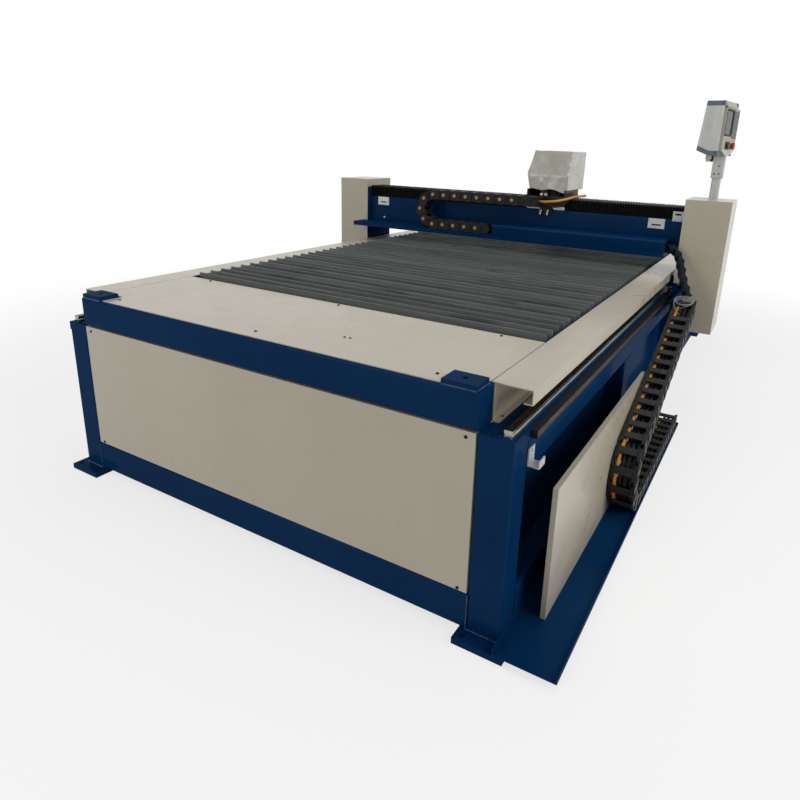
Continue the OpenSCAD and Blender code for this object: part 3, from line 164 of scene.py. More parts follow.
def block(lo, hi, edge):
    """Bevelled box between two corners."""
    lo, hi = np.asarray(lo, float), np.asarray(hi, float)
    w, d, h = hi - lo
    return plate(rounded(w, d, edge, 2), h, [lo[0] + w / 2, lo[1] + d / 2, lo[2]], edge)


def turned(profile, at, axis, count):
    """Profile of (radius, height) pairs turned round an axis through at."""
    profile = np.asarray(profile, float)
    u = np.cross(axis, X if abs(axis[0]) < 0.9 else Y)
    u = u / np.linalg.norm(u)
    flat = profile[:, :1, None] * ring(count)[None]
    height = profile[:, 1:] * np.ones(count)
    return skin(place(flat, height, at, u, np.cross(axis, u), np.asarray(axis)))


def smooth_path(points, count):
    """Catmull-Rom curve through the points, at count even parameter steps."""
    p = np.asarray(points, float)
    p = np.concatenate([2 * p[:1] - p[1:2], p, 2 * p[-1:] - p[-2:-1]])
    t = np.linspace(0, len(p) - 3 - 1e-9, count)
    i = t.astype(int)
    f = (t - i)[:, None]
    a, b, c, d = (p[i + k] for k in range(4))
    return 0.5 * (2 * b + (c - a) * f + (2 * a - 5 * b + 4 * c - d) * f ** 2
                  + (3 * b - a - 3 * c + d) * f ** 3)


def tube(path, radius, count, across=Z):
    """Circle of a radius, one number or an array of rows and columns, carried along a path.
    Its frame is the path's direction, its cross product with across, and their product."""
    path = np.asarray(path, float)
    t = np.gradient(path, axis=0)
    t /= np.linalg.norm(t, axis=1, keepdims=True)
    u = np.cross(t, across)
    u /= np.linalg.norm(u, axis=1, keepdims=True)
    v = np.cross(t, u)
    r = np.broadcast_to(np.asarray(radius, float), (len(path), count))[..., None]
    c = ring(count)
    return skin(path[:, None] + r * (c[:, :1] * u[:, None] + c[:, 1:] * v[:, None]))


def move(shape, turn, by):
    """A copy of a shape turned by a 3 by 3 matrix, then moved."""
    v, quads, tris = shape
    return v @ turn.T + by, quads, tris


def about(axis, degrees):
    """Rotation matrix about a unit axis."""
    a = math.radians(degrees)
    k = np.array([[0, -axis[2], axis[1]], [axis[2], 0, -axis[0]], [-axis[1], axis[0], 0]])
    return np.eye(3) + math.sin(a) * k + (1 - math.cos(a)) * k @ k


def colour(code):
    """sRGB hex to linear RGBA."""
    s = np.array([int(code[i:i + 2], 16) for i in (1, 3, 5)]) / 255
    linear = np.where(s <= 0.04045, s / 12.92, ((s + 0.055) / 1.055) ** 2.4)
    return (*linear.tolist(), 1.0)


def add(tree, kind, inputs=(), **settings):
    """A node with its settings; inputs holds socket values, or sockets to link from."""
    node = tree.nodes.new("ShaderNode" + kind)
    for key, value in settings.items():
        setattr(node, key, value)
    for key, value in dict(inputs).items():
        if isinstance(value, bpy.types.NodeSocket):
            tree.links.new(value, node.inputs[key])
        else:
            node.inputs[key].default_value = value
    return node


FACTOR, MIX_A, MIX_B, MIX_OUT = 0, 6, 7, 2


def start(name, **constants):
    """A material with its shader, whose constants are set by socket name, and the place on the
    object in metres."""
    material = bpy.data.materials.new(name)
    material.use_nodes = True
    tree = material.node_tree
    shader = tree.nodes["Principled BSDF"]
    for key, value in constants.items():
        shader.inputs[key.replace("_", " ")].default_value = value
    return material, tree, shader, add(tree, "TexCoord").outputs["Object"]


def grain(tree, at, size_mm, stretch=(1, 1, 1), low=0.35, high=0.65, detail=4.0, to=(0.0, 1.0)):
    """Noise of about size_mm, drawn out by stretch, with its values from low to high spread
    over the range to."""
    mapped = add(tree, "Mapping", {"Vector": at, "Scale": [1 / s for s in stretch]})
    noise = add(tree, "TexNoise", {"Vector": mapped.outputs[0], "Scale": 1 / (size_mm * MM),
                                   "Detail": detail})
    spread = add(tree, "MapRange", {"Value": noise.outputs[0], "From Min": low, "From Max": high,
                                    "To Min": to[0], "To Max": to[1]})
    return spread.outputs[0]


def tint(tree, factor, a, b):
    """Colour a to b by a factor; either may be a hex value or a socket."""
    a, b = (colour(c) if isinstance(c, str) else c for c in (a, b))
    mixed = add(tree, "Mix", {FACTOR: factor, MIX_A: a, MIX_B: b}, data_type="RGBA")
    return mixed.outputs[MIX_OUT]


def bump(tree, shader, height, depth_mm):
    """Relief of a height of 0 to 1 over a real depth."""
    relief = add(tree, "Bump", {"Height": height, "Distance": depth_mm * MM, "Strength": 1.0})
    tree.links.new(relief.outputs[0], shader.inputs["Normal"])


def link(tree, shader, **sockets):
    """Links sockets to the shader's inputs by name."""
    for key, value in sockets.items():
        tree.links.new(value, shader.inputs[key.replace("_", " ")])


PEEL_MM = 5.0


def enamel(name, main, pale, dark, rough, dust=0.25, gloss=0.5, coat=0.15, rub=0.3):
    """Sprayed enamel on steel: even colour with faint clouds, a little dust, dark rub marks and
    a soft gloss broken by orange peel, drawn coarser than the real 1 mm so that it shows."""
    material, tree, shader, at = start(name, IOR=1.5, Specular_IOR_Level=gloss, Coat_Weight=coat,
                                       Coat_Roughness=0.12)
    base = tint(tree, grain(tree, at, 420, detail=2.0, to=(0, 0.5)), main, pale)
    dusty = tint(tree, grain(tree, at, 24, low=0.55, high=0.8, detail=8.0, to=(0, dust)), base, pale)
    rubbed = tint(tree, grain(tree, at, 60, (4, 4, 1), 0.62, 0.78, 6.0, (0, rub)), dusty, dark)
    link(tree, shader, Base_Color=rubbed,
         Roughness=grain(tree, at, 90, detail=5.0, to=(rough - 0.03, rough + 0.06)))
    bump(tree, shader, grain(tree, at, PEEL_MM, detail=2.0), 0.05)
    return material


def ground_steel(name, main, dark, stretch, rough, metal=1.0, oily_top=None):
    """Ground or drawn steel: bright, with fine lines along the stretch and grey oil marks. Where
    oily_top is given, upward faces wear that dark film of oil and dust."""
    material, tree, shader, at = start(name, Metallic=metal)
    lines = grain(tree, at, 1.6, stretch, detail=3.0)
    oil = grain(tree, at, 45, (1, 1, 1), 0.5, 0.75, 6.0, (0, 0.7))
    shade = tint(tree, oil, tint(tree, lines, main, dark), dark)
    if oily_top:
        up = add(tree, "SeparateXYZ", {0: add(tree, "NewGeometry").outputs["Normal"]}).outputs["Z"]
        film = add(tree, "MapRange", {"Value": up, "From Min": 0.6, "From Max": 0.95, "To Max": 0.9})
        shade = tint(tree, film.outputs[0], shade, oily_top)
    link(tree, shader, Base_Color=shade, Roughness=grain(tree, at, 12, stretch, to=(rough, rough + 0.18)))
    bump(tree, shader, lines, 0.02)
    return material


def moulded(name, main, pale, rough, cell_mm=1.6, depth_mm=0.04, **constants):
    """Moulded plastic: even colour, faint flow clouds and a fine spark-eroded grain, drawn at
    1.6 mm so that it shows."""
    material, tree, shader, at = start(name, IOR=1.46, **constants)
    link(tree, shader, Base_Color=tint(tree, grain(tree, at, 30, to=(0, 0.35)), main, pale),
         Roughness=grain(tree, at, 18, to=(rough - 0.05, rough + 0.1)))
    bump(tree, shader, grain(tree, at, cell_mm, detail=2.0), depth_mm)
    return material


def mill_steel(name, tones, dark, pale):
    """Hot-rolled strip that has been cut over: grey scale, each strip its own tone, with faint
    draw lines along X, a few burnt patches, pale rubbed streaks and sooty upper edges."""
    material, tree, shader, at = start(name, Metallic=0.25)
    y = add(tree, "SeparateXYZ", {"Vector": at}).outputs["Y"]
    number = add(tree, "Math", {0: y, 1: SLAT_PITCH * MM}, operation="DIVIDE").outputs[0]
    whole = add(tree, "Math", {0: number}, operation="ROUND").outputs[0]
    tone = add(tree, "TexWhiteNoise", {"W": whole}, noise_dimensions="1D").outputs["Value"]
    base = tint(tree, tone, *tones)
    streak = tint(tree, grain(tree, at, 9, (40, 1, 1), 0.5, 0.75, 5.0, (0, 0.5)), base, dark)
    burnt = tint(tree, grain(tree, at, 80, (4, 1, 1), 0.58, 0.72, 6.0, (0, 0.65)), streak, dark)
    rubbed = tint(tree, grain(tree, at, 5, (60, 1, 1), 0.62, 0.75, 3.0, (0, 0.3)), burnt, pale)
    up = add(tree, "SeparateXYZ", {0: add(tree, "NewGeometry").outputs["Normal"]}).outputs["Z"]
    soot = add(tree, "MapRange", {"Value": up, "From Min": 0.5, "From Max": 0.95, "To Max": 0.75}).outputs[0]
    link(tree, shader, Base_Color=tint(tree, soot, rubbed, dark),
         Roughness=grain(tree, at, 30, (6, 1, 1), to=(0.45, 0.65)))
    bump(tree, shader, grain(tree, at, 7, (25, 1, 1), detail=5.0), 0.12)
    return material


def crinkled_film(name, main, pale):
    """Clear wrapping film drawn over painted sheet: the paint shows through greyed, and sharp
    creases of about 55 mm, drawn out to twice that along y, catch bright glints."""
    material, tree, shader, at = start(name, IOR=1.5, Coat_Weight=0.6, Coat_Roughness=0.08)
    drawn = add(tree, "Mapping", {"Vector": at, "Scale": [1, 0.45, 1]}).outputs[0]
    wander = add(tree, "TexNoise", {"Vector": drawn, "Scale": 1 / (60 * MM), "Detail": 3.0}).outputs["Color"]
    bent = add(tree, "Mix", {FACTOR: 0.04, MIX_A: drawn, MIX_B: wander}, data_type="RGBA").outputs[MIX_OUT]
    creases = add(tree, "TexVoronoi", {"Vector": bent, "Scale": 1 / (55 * MM)}, feature="DISTANCE_TO_EDGE")
    fold = add(tree, "MapRange", {"Value": creases.outputs["Distance"], "From Max": 0.3}).outputs[0]
    link(tree, shader, Base_Color=tint(tree, grain(tree, at, 70, detail=5.0), main, pale),
         Roughness=grain(tree, at, 40, to=(0.16, 0.34)))
    bump(tree, shader, fold, 1.1)
    return material


navy_enamel = enamel("navy_enamel", "#072d54", "#0d3861", "#03142a", 0.3, 0.12, gloss=0.0, coat=0.07, rub=0.1)
weld_navy = enamel("navy_enamel_on_weld", "#0d3560", "#385a80", "#06203f", 0.3, dust=0.3, gloss=0.1, coat=0.3)
beige_enamel = enamel("beige_enamel", "#b8b09c", "#c1b9a7", "#8f8773", 0.3, dust=0.03, rub=0.02)
rail_steel = ground_steel("ground_rail_steel", "#c3c4c2", "#7d7a72", (1, 60, 1), 0.2, oily_top="#34302a")
block_steel = ground_steel("ground_block_steel", "#b9bab8", "#7d7a72", (1, 30, 1), 0.25)
cross_rail_steel = ground_steel("ground_cross_rail_steel", "#bfc0c0", "#6d6a62", (60, 1, 1), 0.2)
rack_steel = ground_steel("blackened_rack_steel", "#1d1d1e", "#0d0d0e", (1, 8, 1), 0.38, 0.7)
screw_steel = ground_steel("rolled_screw_steel", "#b5b6b8", "#73706a", (1, 1, 8), 0.24)
bolt_steel = ground_steel("blackened_bolt_steel", "#232324", "#101011", (2, 2, 2), 0.34, 0.7)
zinc_plate = ground_steel("zinc_plated_steel", "#d2d4d0", "#bcbeba", (6, 6, 6), 0.34, 0.35)
chrome = ground_steel("chrome_plated_steel", "#a3a8ab", "#6f757a", (3, 3, 3), 0.16)
slat_steel = mill_steel("mill_scale_strip_steel", ("#696d6c", "#868a88"), "#393c3c", "#9fa3a1")
pan_steel = mill_steel("slag_pan_steel", ("#62686a", "#6e7476"), "#34383a", "#8c9293")
link_nylon = moulded("glass_filled_nylon", "#191918", "#272726", 0.46, Specular_IOR_Level=0.22)
bar_nylon = moulded("grey_crossbar_nylon", "#222221", "#31312f", 0.5, Specular_IOR_Level=0.25)
pin_acetal = moulded("yellow_acetal", "#b98c3c", "#d3ac60", 0.4)
orange_pvc = moulded("orange_pvc_sheath", "#c7872a", "#dba64c", 0.42)
black_pvc = moulded("black_pvc_sheath", "#111113", "#1c1c1f", 0.45, Specular_IOR_Level=0.2)
grey_pvc = moulded("grey_pvc_sheath", "#8d9195", "#a5a8ab", 0.45)
navy_wrap = moulded("navy_spiral_wrap", "#080c18", "#121a30", 0.5, Specular_IOR_Level=0.14)
white_nylon = moulded("white_nylon", "#d2d2cc", "#dddcd6", 0.45)
motor_paint = enamel("satin_black_motor_paint", "#151517", "#222225", "#0b0b0c", 0.42, gloss=0.25, coat=0.0)
grey_anodised = ground_steel("grey_anodised_aluminium", "#c5c6c2", "#b3b4b0", (1, 1, 40), 0.42, 0.3)
dark_abs = moulded("slate_grey_abs", "#5f6973", "#727c86", 0.5)
bezel_abs = moulded("light_putty_abs", "#a49f90", "#b2ad9f", 0.5)
shade_abs = moulded("putty_grey_abs", "#aaa596", "#bab5a7", 0.5)
panel_film = moulded("grey_membrane_film", "#55584f", "#66695f", 0.42, Specular_IOR_Level=0.25)
key_film = moulded("grey_key_film", "#77776e", "#8b8b81", 0.42)
screen_glass = moulded("dark_screen_glass", "#2b2f2d", "#3a3d38", 0.16, 40.0, 0.01, Specular_IOR_Level=0.25)
red_abs = moulded("red_gloss_abs", "#b3261e", "#c6463a", 0.28)
green_abs = moulded("green_gloss_abs", "#1d6b43", "#2f8a5a", 0.28)
yellow_abs = moulded("yellow_abs", "#c9a227", "#d8b648", 0.4)
black_rubber = moulded("black_bellows_rubber", "#0b0b0c", "#161618", 0.45, 2.4, 0.08, Specular_IOR_Level=0.12)
film_wrap = crinkled_film("film_over_beige_sheet", "#a9a599", "#bdb9ad")

FINISH = {
    navy_enamel: "foot_plates legs lower_tubes side_beams cross_tubes bed_frame cap_plates rail_strips "
                 "inner_sheets cable_tray end_plates beam chain_shelf cable_duct y_chain_bracket",
    beige_enamel: "end_panels top_plates side_covers guard_panels left_cover right_cover",
    film_wrap: "lifter_cover",
    rail_steel: "y_rails",
    block_steel: "rail_blocks left_pinion right_pinion x_pinion",
    cross_rail_steel: "x_rails x_blocks",
    rack_steel: "y_racks x_rack",
    screw_steel: "z_screw",
    zinc_plate: "limit_brackets sensor_plates",
    slat_steel: "slats",
    pan_steel: "slag_pan",
    link_nylon: "y_chain_lower y_chain_upper y_chain_bend x_chain_lower x_chain_upper x_chain_bend torch",
    black_rubber: "bellows_left bellows_right",
    motor_paint: "y_motors carriage_motors carriage_plate lifter_housing z_slide x_chain_bracket",
    navy_wrap: "cable_bundle",
    orange_pvc: "torch_lead",
    grey_anodised: "pole control_box",
    dark_abs: "box_caps",
    bezel_abs: "screen_bezel",
    shade_abs: "screen_shade",
    red_abs: "stop_head",
    green_abs: "start_button",
}
for material, names in FINISH.items():
    for node_name in names.split():
        NODES[node_name].data.materials.clear()
        NODES[node_name].data.materials.append(material)


camera = bpy.data.objects.new("camera", bpy.data.cameras.new("camera"))
camera.data.lens, camera.data.sensor_width = 27.905, 36.0
camera.data.shift_x, camera.data.shift_y = -0.02575, -0.08096
camera.location = (1.38882, -3.14353, 1.29150)
camera.rotation_euler = [math.radians(a) for a in (73.1399, -1.7830, 30.6118)]
bpy.context.scene.collection.objects.link(camera)
bpy.context.scene.camera = camera
bpy.context.scene.view_settings.view_transform = "Standard"


def seen(tree):
    """1 for rays from the camera, off gloss and through glass, 0 for the light that rays carry."""
    path = add(tree, "LightPath")
    rays = [path.outputs[f"Is {kind} Ray"] for kind in ("Camera", "Glossy", "Transmission")]
    pair = add(tree, "Math", {0: rays[0], 1: rays[1]}, operation="MAXIMUM").outputs[0]
    return add(tree, "Math", {0: pair, 1: rays[2]}, operation="MAXIMUM").outputs[0]


def studio_floor(name, glow_near, near_m, far_m):
    """Matt white floor that takes the shadow near the object and glows to plain white far off."""
    material, tree, shader, at = start(name, Base_Color=colour("#f3f3f2"), Roughness=0.9)
    away = add(tree, "VectorMath", {0: at}, operation="LENGTH").outputs["Value"]
    glow = add(tree, "MapRange", {"Value": away, "From Min": near_m, "From Max": far_m, "To Min": glow_near,
                                  "To Max": 1.0}, interpolation_type="SMOOTHSTEP").outputs[0]
    share = add(tree, "Math", {0: glow, 1: seen(tree)}, operation="MULTIPLY").outputs[0]
    white = add(tree, "Emission", {"Color": (1, 1, 1, 1), "Strength": 1.0}).outputs[0]
    mixed = add(tree, "MixShader", {0: share, 1: shader.outputs[0], 2: white}).outputs[0]
    tree.links.new(mixed, tree.nodes["Material Output"].inputs["Surface"])
    return material


FLOOR_HALF, FLOOR_DROP = 30000.0, 0.5
sides = np.array([-FLOOR_HALF, FLOOR_HALF])
floor_points = np.stack([*np.meshgrid(sides, sides), np.full((2, 2), -FLOOR_DROP)], -1)
white_floor = studio_floor("matt_white_floor", glow_near=0.72, near_m=2.2, far_m=4.6)
make("floor", [(skin(floor_points, wrap=False, caps=False), white_floor)])


def lamp(name, at, aim, size, watts):
    """Square soft lamp at a place in metres, turned to face aim."""
    light = bpy.data.lights.new(name, "AREA")
    light.shape, light.size, light.energy = "SQUARE", size, watts
    lamp_object = bpy.data.objects.new(name, light)
    lamp_object.location = at
    lamp_object.rotation_euler = (Vector(aim) - Vector(at)).to_track_quat("-Z", "Y").to_euler()
    bpy.context.scene.collection.objects.link(lamp_object)


lamp("top_lamp", (0.0, 0.0, 5.5), (0, 0, 0.5), 5.0, 66)
lamp("side_lamp", (5.5, -1.0, 3.2), (0.8, -0.6, 0.6), 3.5, 120)
lamp("front_lamp", (-2.5, -6.5, 2.6), (0, -1.5, 0.5), 3.0, 62)

AMBIENT = 0.34
world = bpy.data.worlds.new("studio")
bpy.context.scene.world = world
world.use_nodes = True
sky = world.node_tree
sky.nodes.clear()
strength = add(sky, "MapRange", {"Value": seen(sky), "To Min": AMBIENT, "To Max": 1.0})
white_sky = add(sky, "Background", {"Color": (1, 1, 1, 1), "Strength": strength.outputs[0]})
add(sky, "OutputWorld", {"Surface": white_sky.outputs[0]})


def between(lo, hi, shares):
    """Points at the given shares of the way from one corner to the other on each axis."""
    lo, hi = np.asarray(lo, float), np.asarray(hi, float)
    return lo + np.asarray(shares) * (hi - lo)


def cord(name, route, radius, body, material, node=None, *, count):
    """A cable along a route of points, that leaves the object and goes back into it."""
    piece = make(name, [(tube(route, radius, count), material)], body)
    if node:
        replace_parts(piece, node)


def twisted(route, radius, strands, lay_mm, count):
    """Radius of a bundle of strands twisted once in lay_mm: at angle a and length s it is the full
    radius times 1 - 0.3 |sin(n/2 (a - 2 pi s / lay))|, round strands with grooves between."""
    s = np.concatenate([[0], np.cumsum(np.linalg.norm(np.diff(route, axis=0), axis=1))])
    a = np.arange(count) / count * TURN
    wave = np.abs(np.sin(strands / 2 * (a[None] - TURN * s[:, None] / lay_mm)))
    return radius * (1 - 0.3 * wave)


# cable bundle from the duct at the shelf end down to the moving end of the length chain
BUNDLE_SHARES = [[0, 0, 0], [0.127, 0, 0], [0.33, 0.038, 0.047], [0.52, 0.18, 0.2], [0.65, 0.397, 0.422],
                 [0.77, 0.641, 0.656], [0.895, 0.859, 0.859], [1, 1, 1]]
bundle_route = smooth_path(between([866, 111.7, 859.3], [1039.3, -43.8, 661.7], BUNDLE_SHARES), 110)
BUNDLE_R, BUNDLE_STRANDS, BUNDLE_LAY, BUNDLE_SIDES = 22.0, 3, 150.0, 36
bundle_radius = twisted(bundle_route, BUNDLE_R, BUNDLE_STRANDS, BUNDLE_LAY, BUNDLE_SIDES)
cord("cable_bundle_wrap", bundle_route, bundle_radius, "gantry", navy_wrap, "cable_bundle",
     count=BUNDLE_SIDES)

# torch lead from the chain bracket round the carriage side to the lifter housing
LEAD_SHARES = [[0, 0, 0], [0.098, 0, 0], [0.327, 0.013, 0.108], [0.549, 0.054, 0.26], [0.736, 0.12, 0.495],
               [0.879, 0.206, 0.764], [0.968, 0.309, 0.966], [1, 0.415, 1], [1, 0.61, 1], [1, 0.825, 0.966],
               [0.949, 0.914, 0.865], [0.809, 0.977, 0.731]]
LEAD_R = 7.0
LEAD_IN = [[324.3, 446, 1051], [310.3, 446, 1051]]
lead_points = between([220.3, 97, 1032.3], [378, 446, 1062], LEAD_SHARES)
lead_route = smooth_path(np.concatenate([lead_points, LEAD_IN]), 120)
cord("torch_lead_sheath", lead_route, LEAD_R, "carriage", orange_pvc, "torch_lead", count=16)

# spare wire that leaves the cables in the last open link of the length chain, lies coiled on it
# and goes back in; its places are across, up the run and off the face from the end of the chain
SLOPE = 20.5
UP_RUN = about(X, SLOPE) @ Y
UP_FACE = about(X, SLOPE) @ Z
CHAIN_END = np.array([1036.0, -62.97, 622.7])
WIRE_IN = [[-20, -88, -4], [-19.5, -88, 8], [-17, -87, 19], [-10, -83, 28], [3, -76, 33]]
WIRE_OUT = [[-42, -52, 47], [-40, -72, 42], [-33, -91, 34], [-20, -104, 24], [-7, -109, 10], [-3, -109, -5]]
WIRE_R, COIL_TURNS, COIL_START, COIL_OVAL, COIL_UP = 1.7, 2.6, 0.15, 1.15, 42
coil = np.linspace(0, 1, 40)[:, None]
angle = TURN * (COIL_TURNS * coil - COIL_START)
coil_r, coil_rise = 27 + 9 * coil, 35 + 15 * coil
loops = np.concatenate([coil_r * COIL_OVAL * np.cos(angle), coil_r * np.sin(angle) - COIL_UP, coil_rise], 1)
wire_points = np.concatenate([WIRE_IN, loops, WIRE_OUT])
wire_route = smooth_path(CHAIN_END + wire_points @ np.stack([X, UP_RUN, UP_FACE]), 200)
cord("spare_sensor_wire", wire_route, WIRE_R, "gantry", grey_pvc,
     count=8)


def stretch(piece, bodies, a, b, share_a, share_b):
    """Bakes the piece's placement into its mesh; the piece does not follow a second body.
    bodies, a, b, share_a and share_b are not used."""
    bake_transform(piece)


LINK_WALL, LINK_BEVEL, LINK_BACK, CABLE_SIDES = 4.5, 0.9, 10.0, 10


def chain_link(pitch, wide, high, bar, pin, lid=True, joint=True):
    """Chain link from x = 0 to pitch, y = 0 to wide, about z = 0. Each side plate has an outer lobe
    round the pivot at x = 0 and an inner lobe that goes under the next link's outer one; flanges and
    crossbars with snap ends join them at both faces, but for the upper bar where there is no lid.
    The pivot has a raised ring and a pin of a finish, or where that is None a thin black disc, painted shade
    for the open pivot. Without a joint that end is an inner plate that stops short of the pivot."""
    over, lip, corner = 0.2 * high, 0.17 * wide, 0.2 * high
    back = -over if joint else LINK_BACK
    outer = rounded(0.55 * pitch - back, high, corner, 5)
    inner = rounded(0.6 * pitch + over, 0.95 * high, corner, 5)
    ring_r, pin_r = 0.29 * high, 0.18 * high
    rim = [(ring_r, -0.4), (ring_r, 0.7), (ring_r - 0.8, 1.2), (ring_r - 5, 1.2), (ring_r - 5.8, 0.5)]
    # with no pin the cap is a thin black disc: painted shade for the open pivot
    cap = [(pin_r, 0.2), (pin_r - 0.2, 1.3), (pin_r - 1.8, 1.7)] if pin else [(pin_r, 0.3), (pin_r, 0.6)]
    parts = []
    for y, out in ((0.0, -Y), (wide, Y)):
        outer_at = np.array([(0.55 * pitch + back) / 2, y, 0]) - (0 if joint else LINK_WALL) * out
        inner_at = np.array([0.7 * pitch + over / 2, y, 0]) - LINK_WALL * out
        for outline, at in ((outer, outer_at), (inner, inner_at)):
            parts.append((plate(outline, LINK_WALL, at, LINK_BEVEL, X, Z, -out), link_nylon))
        if joint:
            parts += [(turned(rim, [0, y, 0], out, 20), bar_nylon),
                      (turned(cap, [0, y, 0], out, 16), pin or black_pvc)]
        ys = np.sort([y, y - lip * out[1]])
        for face in (-1, 1):
            z = np.sort([face * (high / 2 - 1.6), face * (high / 2 - 6)])
            flange = block([max(1, back), ys[0] + 1, z[0]], [pitch - 1, ys[1] - 1, z[1]], 1.2)
            parts.append((flange, link_nylon))
    for face in (-1, 1) if lid else (-1,):
        z = np.sort([face * (high / 2 - 0.6), face * (high / 2 - 8)])
        crossbar = block([(pitch - bar) / 2, 6, z[0]], [(pitch + bar) / 2, wide - 6, z[1]], 1.4)
        parts.append((crossbar, bar_nylon))
        z = np.sort([face * (high / 2 + 0.6), face * (high / 2 - 4)])
        for y in (8.0, wide - 17.0):
            snap = block([pitch / 2 - bar * 0.3, y, z[0]], [pitch / 2 + bar * 0.3, y + 9, z[1]], 1.2)
            parts.append((snap, link_nylon))
    return parts


def chain_run(name, node, size, groups, origin, turn, cables, bodies, shares, pin, holes=(), open_links=()):
    """Straight run of links from an origin along turn's x axis, in groups of links that are made
    one piece each, one after another. Cables lie in it at (y, z) places."""
    pitch, count = size[0], groups[-1]
    run = turn @ X
    for first, last in zip(groups[:-1], groups[1:]):
        parts = []
        for k in range(first, last):
            for shape, material in chain_link(*size, None if k in holes else pin, k not in open_links):
                parts.append((move(shape, turn, origin + k * pitch * run), material))
        for (y, z, r), material in cables:
            s = np.linspace(first * pitch, last * pitch, 5 * (last - first) + 1)[:, None]
            line = origin + s * run + turn @ np.array([0, y, z])
            parts.append((tube(line, r, CABLE_SIDES, turn @ Z), material))
        piece = make(f"{name}_{first + 1}", parts, None)
        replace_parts(piece, node)
        share = [shares[0] + (shares[1] - shares[0]) * k / count for k in (first, last)]
        stretch(piece, bodies, origin + first * pitch * run, origin + last * pitch * run, *share)


def chain_bend(name, node, size, degrees, count, r, origin, turn, cables, body, pin):
    """Links round a bend from straight below its centre through the given degrees: chords of a
    circle of radius r, with every pivot on it. The last one goes under the run's first lobes."""
    pitch, wide, high, bar = size
    step = degrees / count
    half = math.radians(step / 2)
    short, middle = 2 * r * math.sin(half), r * math.cos(half)
    parts = []
    for k in range(count):
        spin = about(Y, (k + 0.5) * step)
        by = spin @ np.array([-short / 2, 0, -middle])
        for shape, material in chain_link(short, wide, high, bar * short / pitch, pin, joint=k < count - 1):
            parts.append((move(move(shape, spin, by), turn, origin), material))
    a = np.radians(np.linspace(0, degrees, 5 * count))[:, None]
    for (y, z, rc), material in cables:
        line = np.array([0, y, 0]) - (r - z) * (np.sin(a) * X + np.cos(a) * Z)
        parts.append((tube(line @ turn.T + origin, rc, CABLE_SIDES, turn @ Y), material))
    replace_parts(make(name, parts, body), node)


def flip(cables):
    """The same cables in the run on the other side of a bend."""
    return [((y, -z, r), material) for (y, z, r), material in cables]


# links: pitch, width, height and crossbar; bends: radius and number of links
CROSS_LINK, LENGTH_LINK = (70.0, 80.0, 54.0, 30.0), (66.0, 94.0, 60.0, 30.0)
CROSS_R, LENGTH_R = 84.0, 115.0
CROSS_BEND_LINKS, LENGTH_BEND_LINKS = 4, 5
ALONG_Y = about(Z, 90)
UP_SLOPE = about(X, SLOPE) @ ALONG_Y
cross_cables = [((22.0, -8.0, 8.0), black_pvc), ((40.0, -6.0, 9.0), orange_pvc),
                ((58.0, -8.0, 7.5), black_pvc)]
length_cables = [((19.5, -4.0, 10.5), black_pvc), ((40.0, -4.0, 10.0), black_pvc),
                 ((58.5, -4.0, 8.5), black_pvc), ((75.5, -10.0, 7.5), orange_pvc)]
cross_low, length_low = np.array([-414.0, 57.0, 864.3]), np.array([1086.3, -950.0, 53.3])
cross_centre, length_centre = cross_low + CROSS_R * Z, length_low + LENGTH_R * Z
cross_up, length_up = cross_centre + CROSS_R * Z, length_centre + LENGTH_R * UP_FACE
chain_run("cross_chain_lower", "x_chain_lower", CROSS_LINK, (0, 2, 5), cross_low, np.eye(3), cross_cables,
          ("gantry", "cross_chain_bend"), (1, 0), pin_acetal)
chain_run("cross_chain_upper", "x_chain_upper", CROSS_LINK, (0, 3, 6, 9), cross_up, np.eye(3),
          flip(cross_cables), ("gantry", "carriage"), (0.5, 1), pin_acetal, holes=(8,))
chain_bend("cross_chain_turn", "x_chain_bend", CROSS_LINK, 180, CROSS_BEND_LINKS, CROSS_R, cross_centre,
           np.eye(3), cross_cables, "cross_chain_bend", pin_acetal)
chain_run("length_chain_lower", "y_chain_lower", LENGTH_LINK, (0, 3, 6, 9, 13), length_low, ALONG_Y,
          length_cables, ("table", "length_chain_bend"), (1, 0), link_nylon)
chain_run("length_chain_upper", "y_chain_upper", LENGTH_LINK, (0, 4, 8, 12, 15), length_up, UP_SLOPE,
          flip(length_cables), ("table", "gantry"), (0.5, 1), link_nylon, open_links=(13,))
chain_bend("length_chain_turn", "y_chain_bend", LENGTH_LINK, 180 - SLOPE, LENGTH_BEND_LINKS, LENGTH_R,
           length_centre, ALONG_Y, length_cables, "length_chain_bend", link_nylon)


# a pleat's ridge starts at 0 and ends at the second share of it, its valley at the third and fourth
LANDS = [0.0, 0.14, 0.5, 0.64]
PLEAT, FOLD_DEPTH, CLOTH = 14.0, 9.0, 1.4
ARCH_Y, ARCH_Z, ARCH_MIDDLE = (191.5, 338.5), (987.3, 1051.0), (265.0, 1020.0)


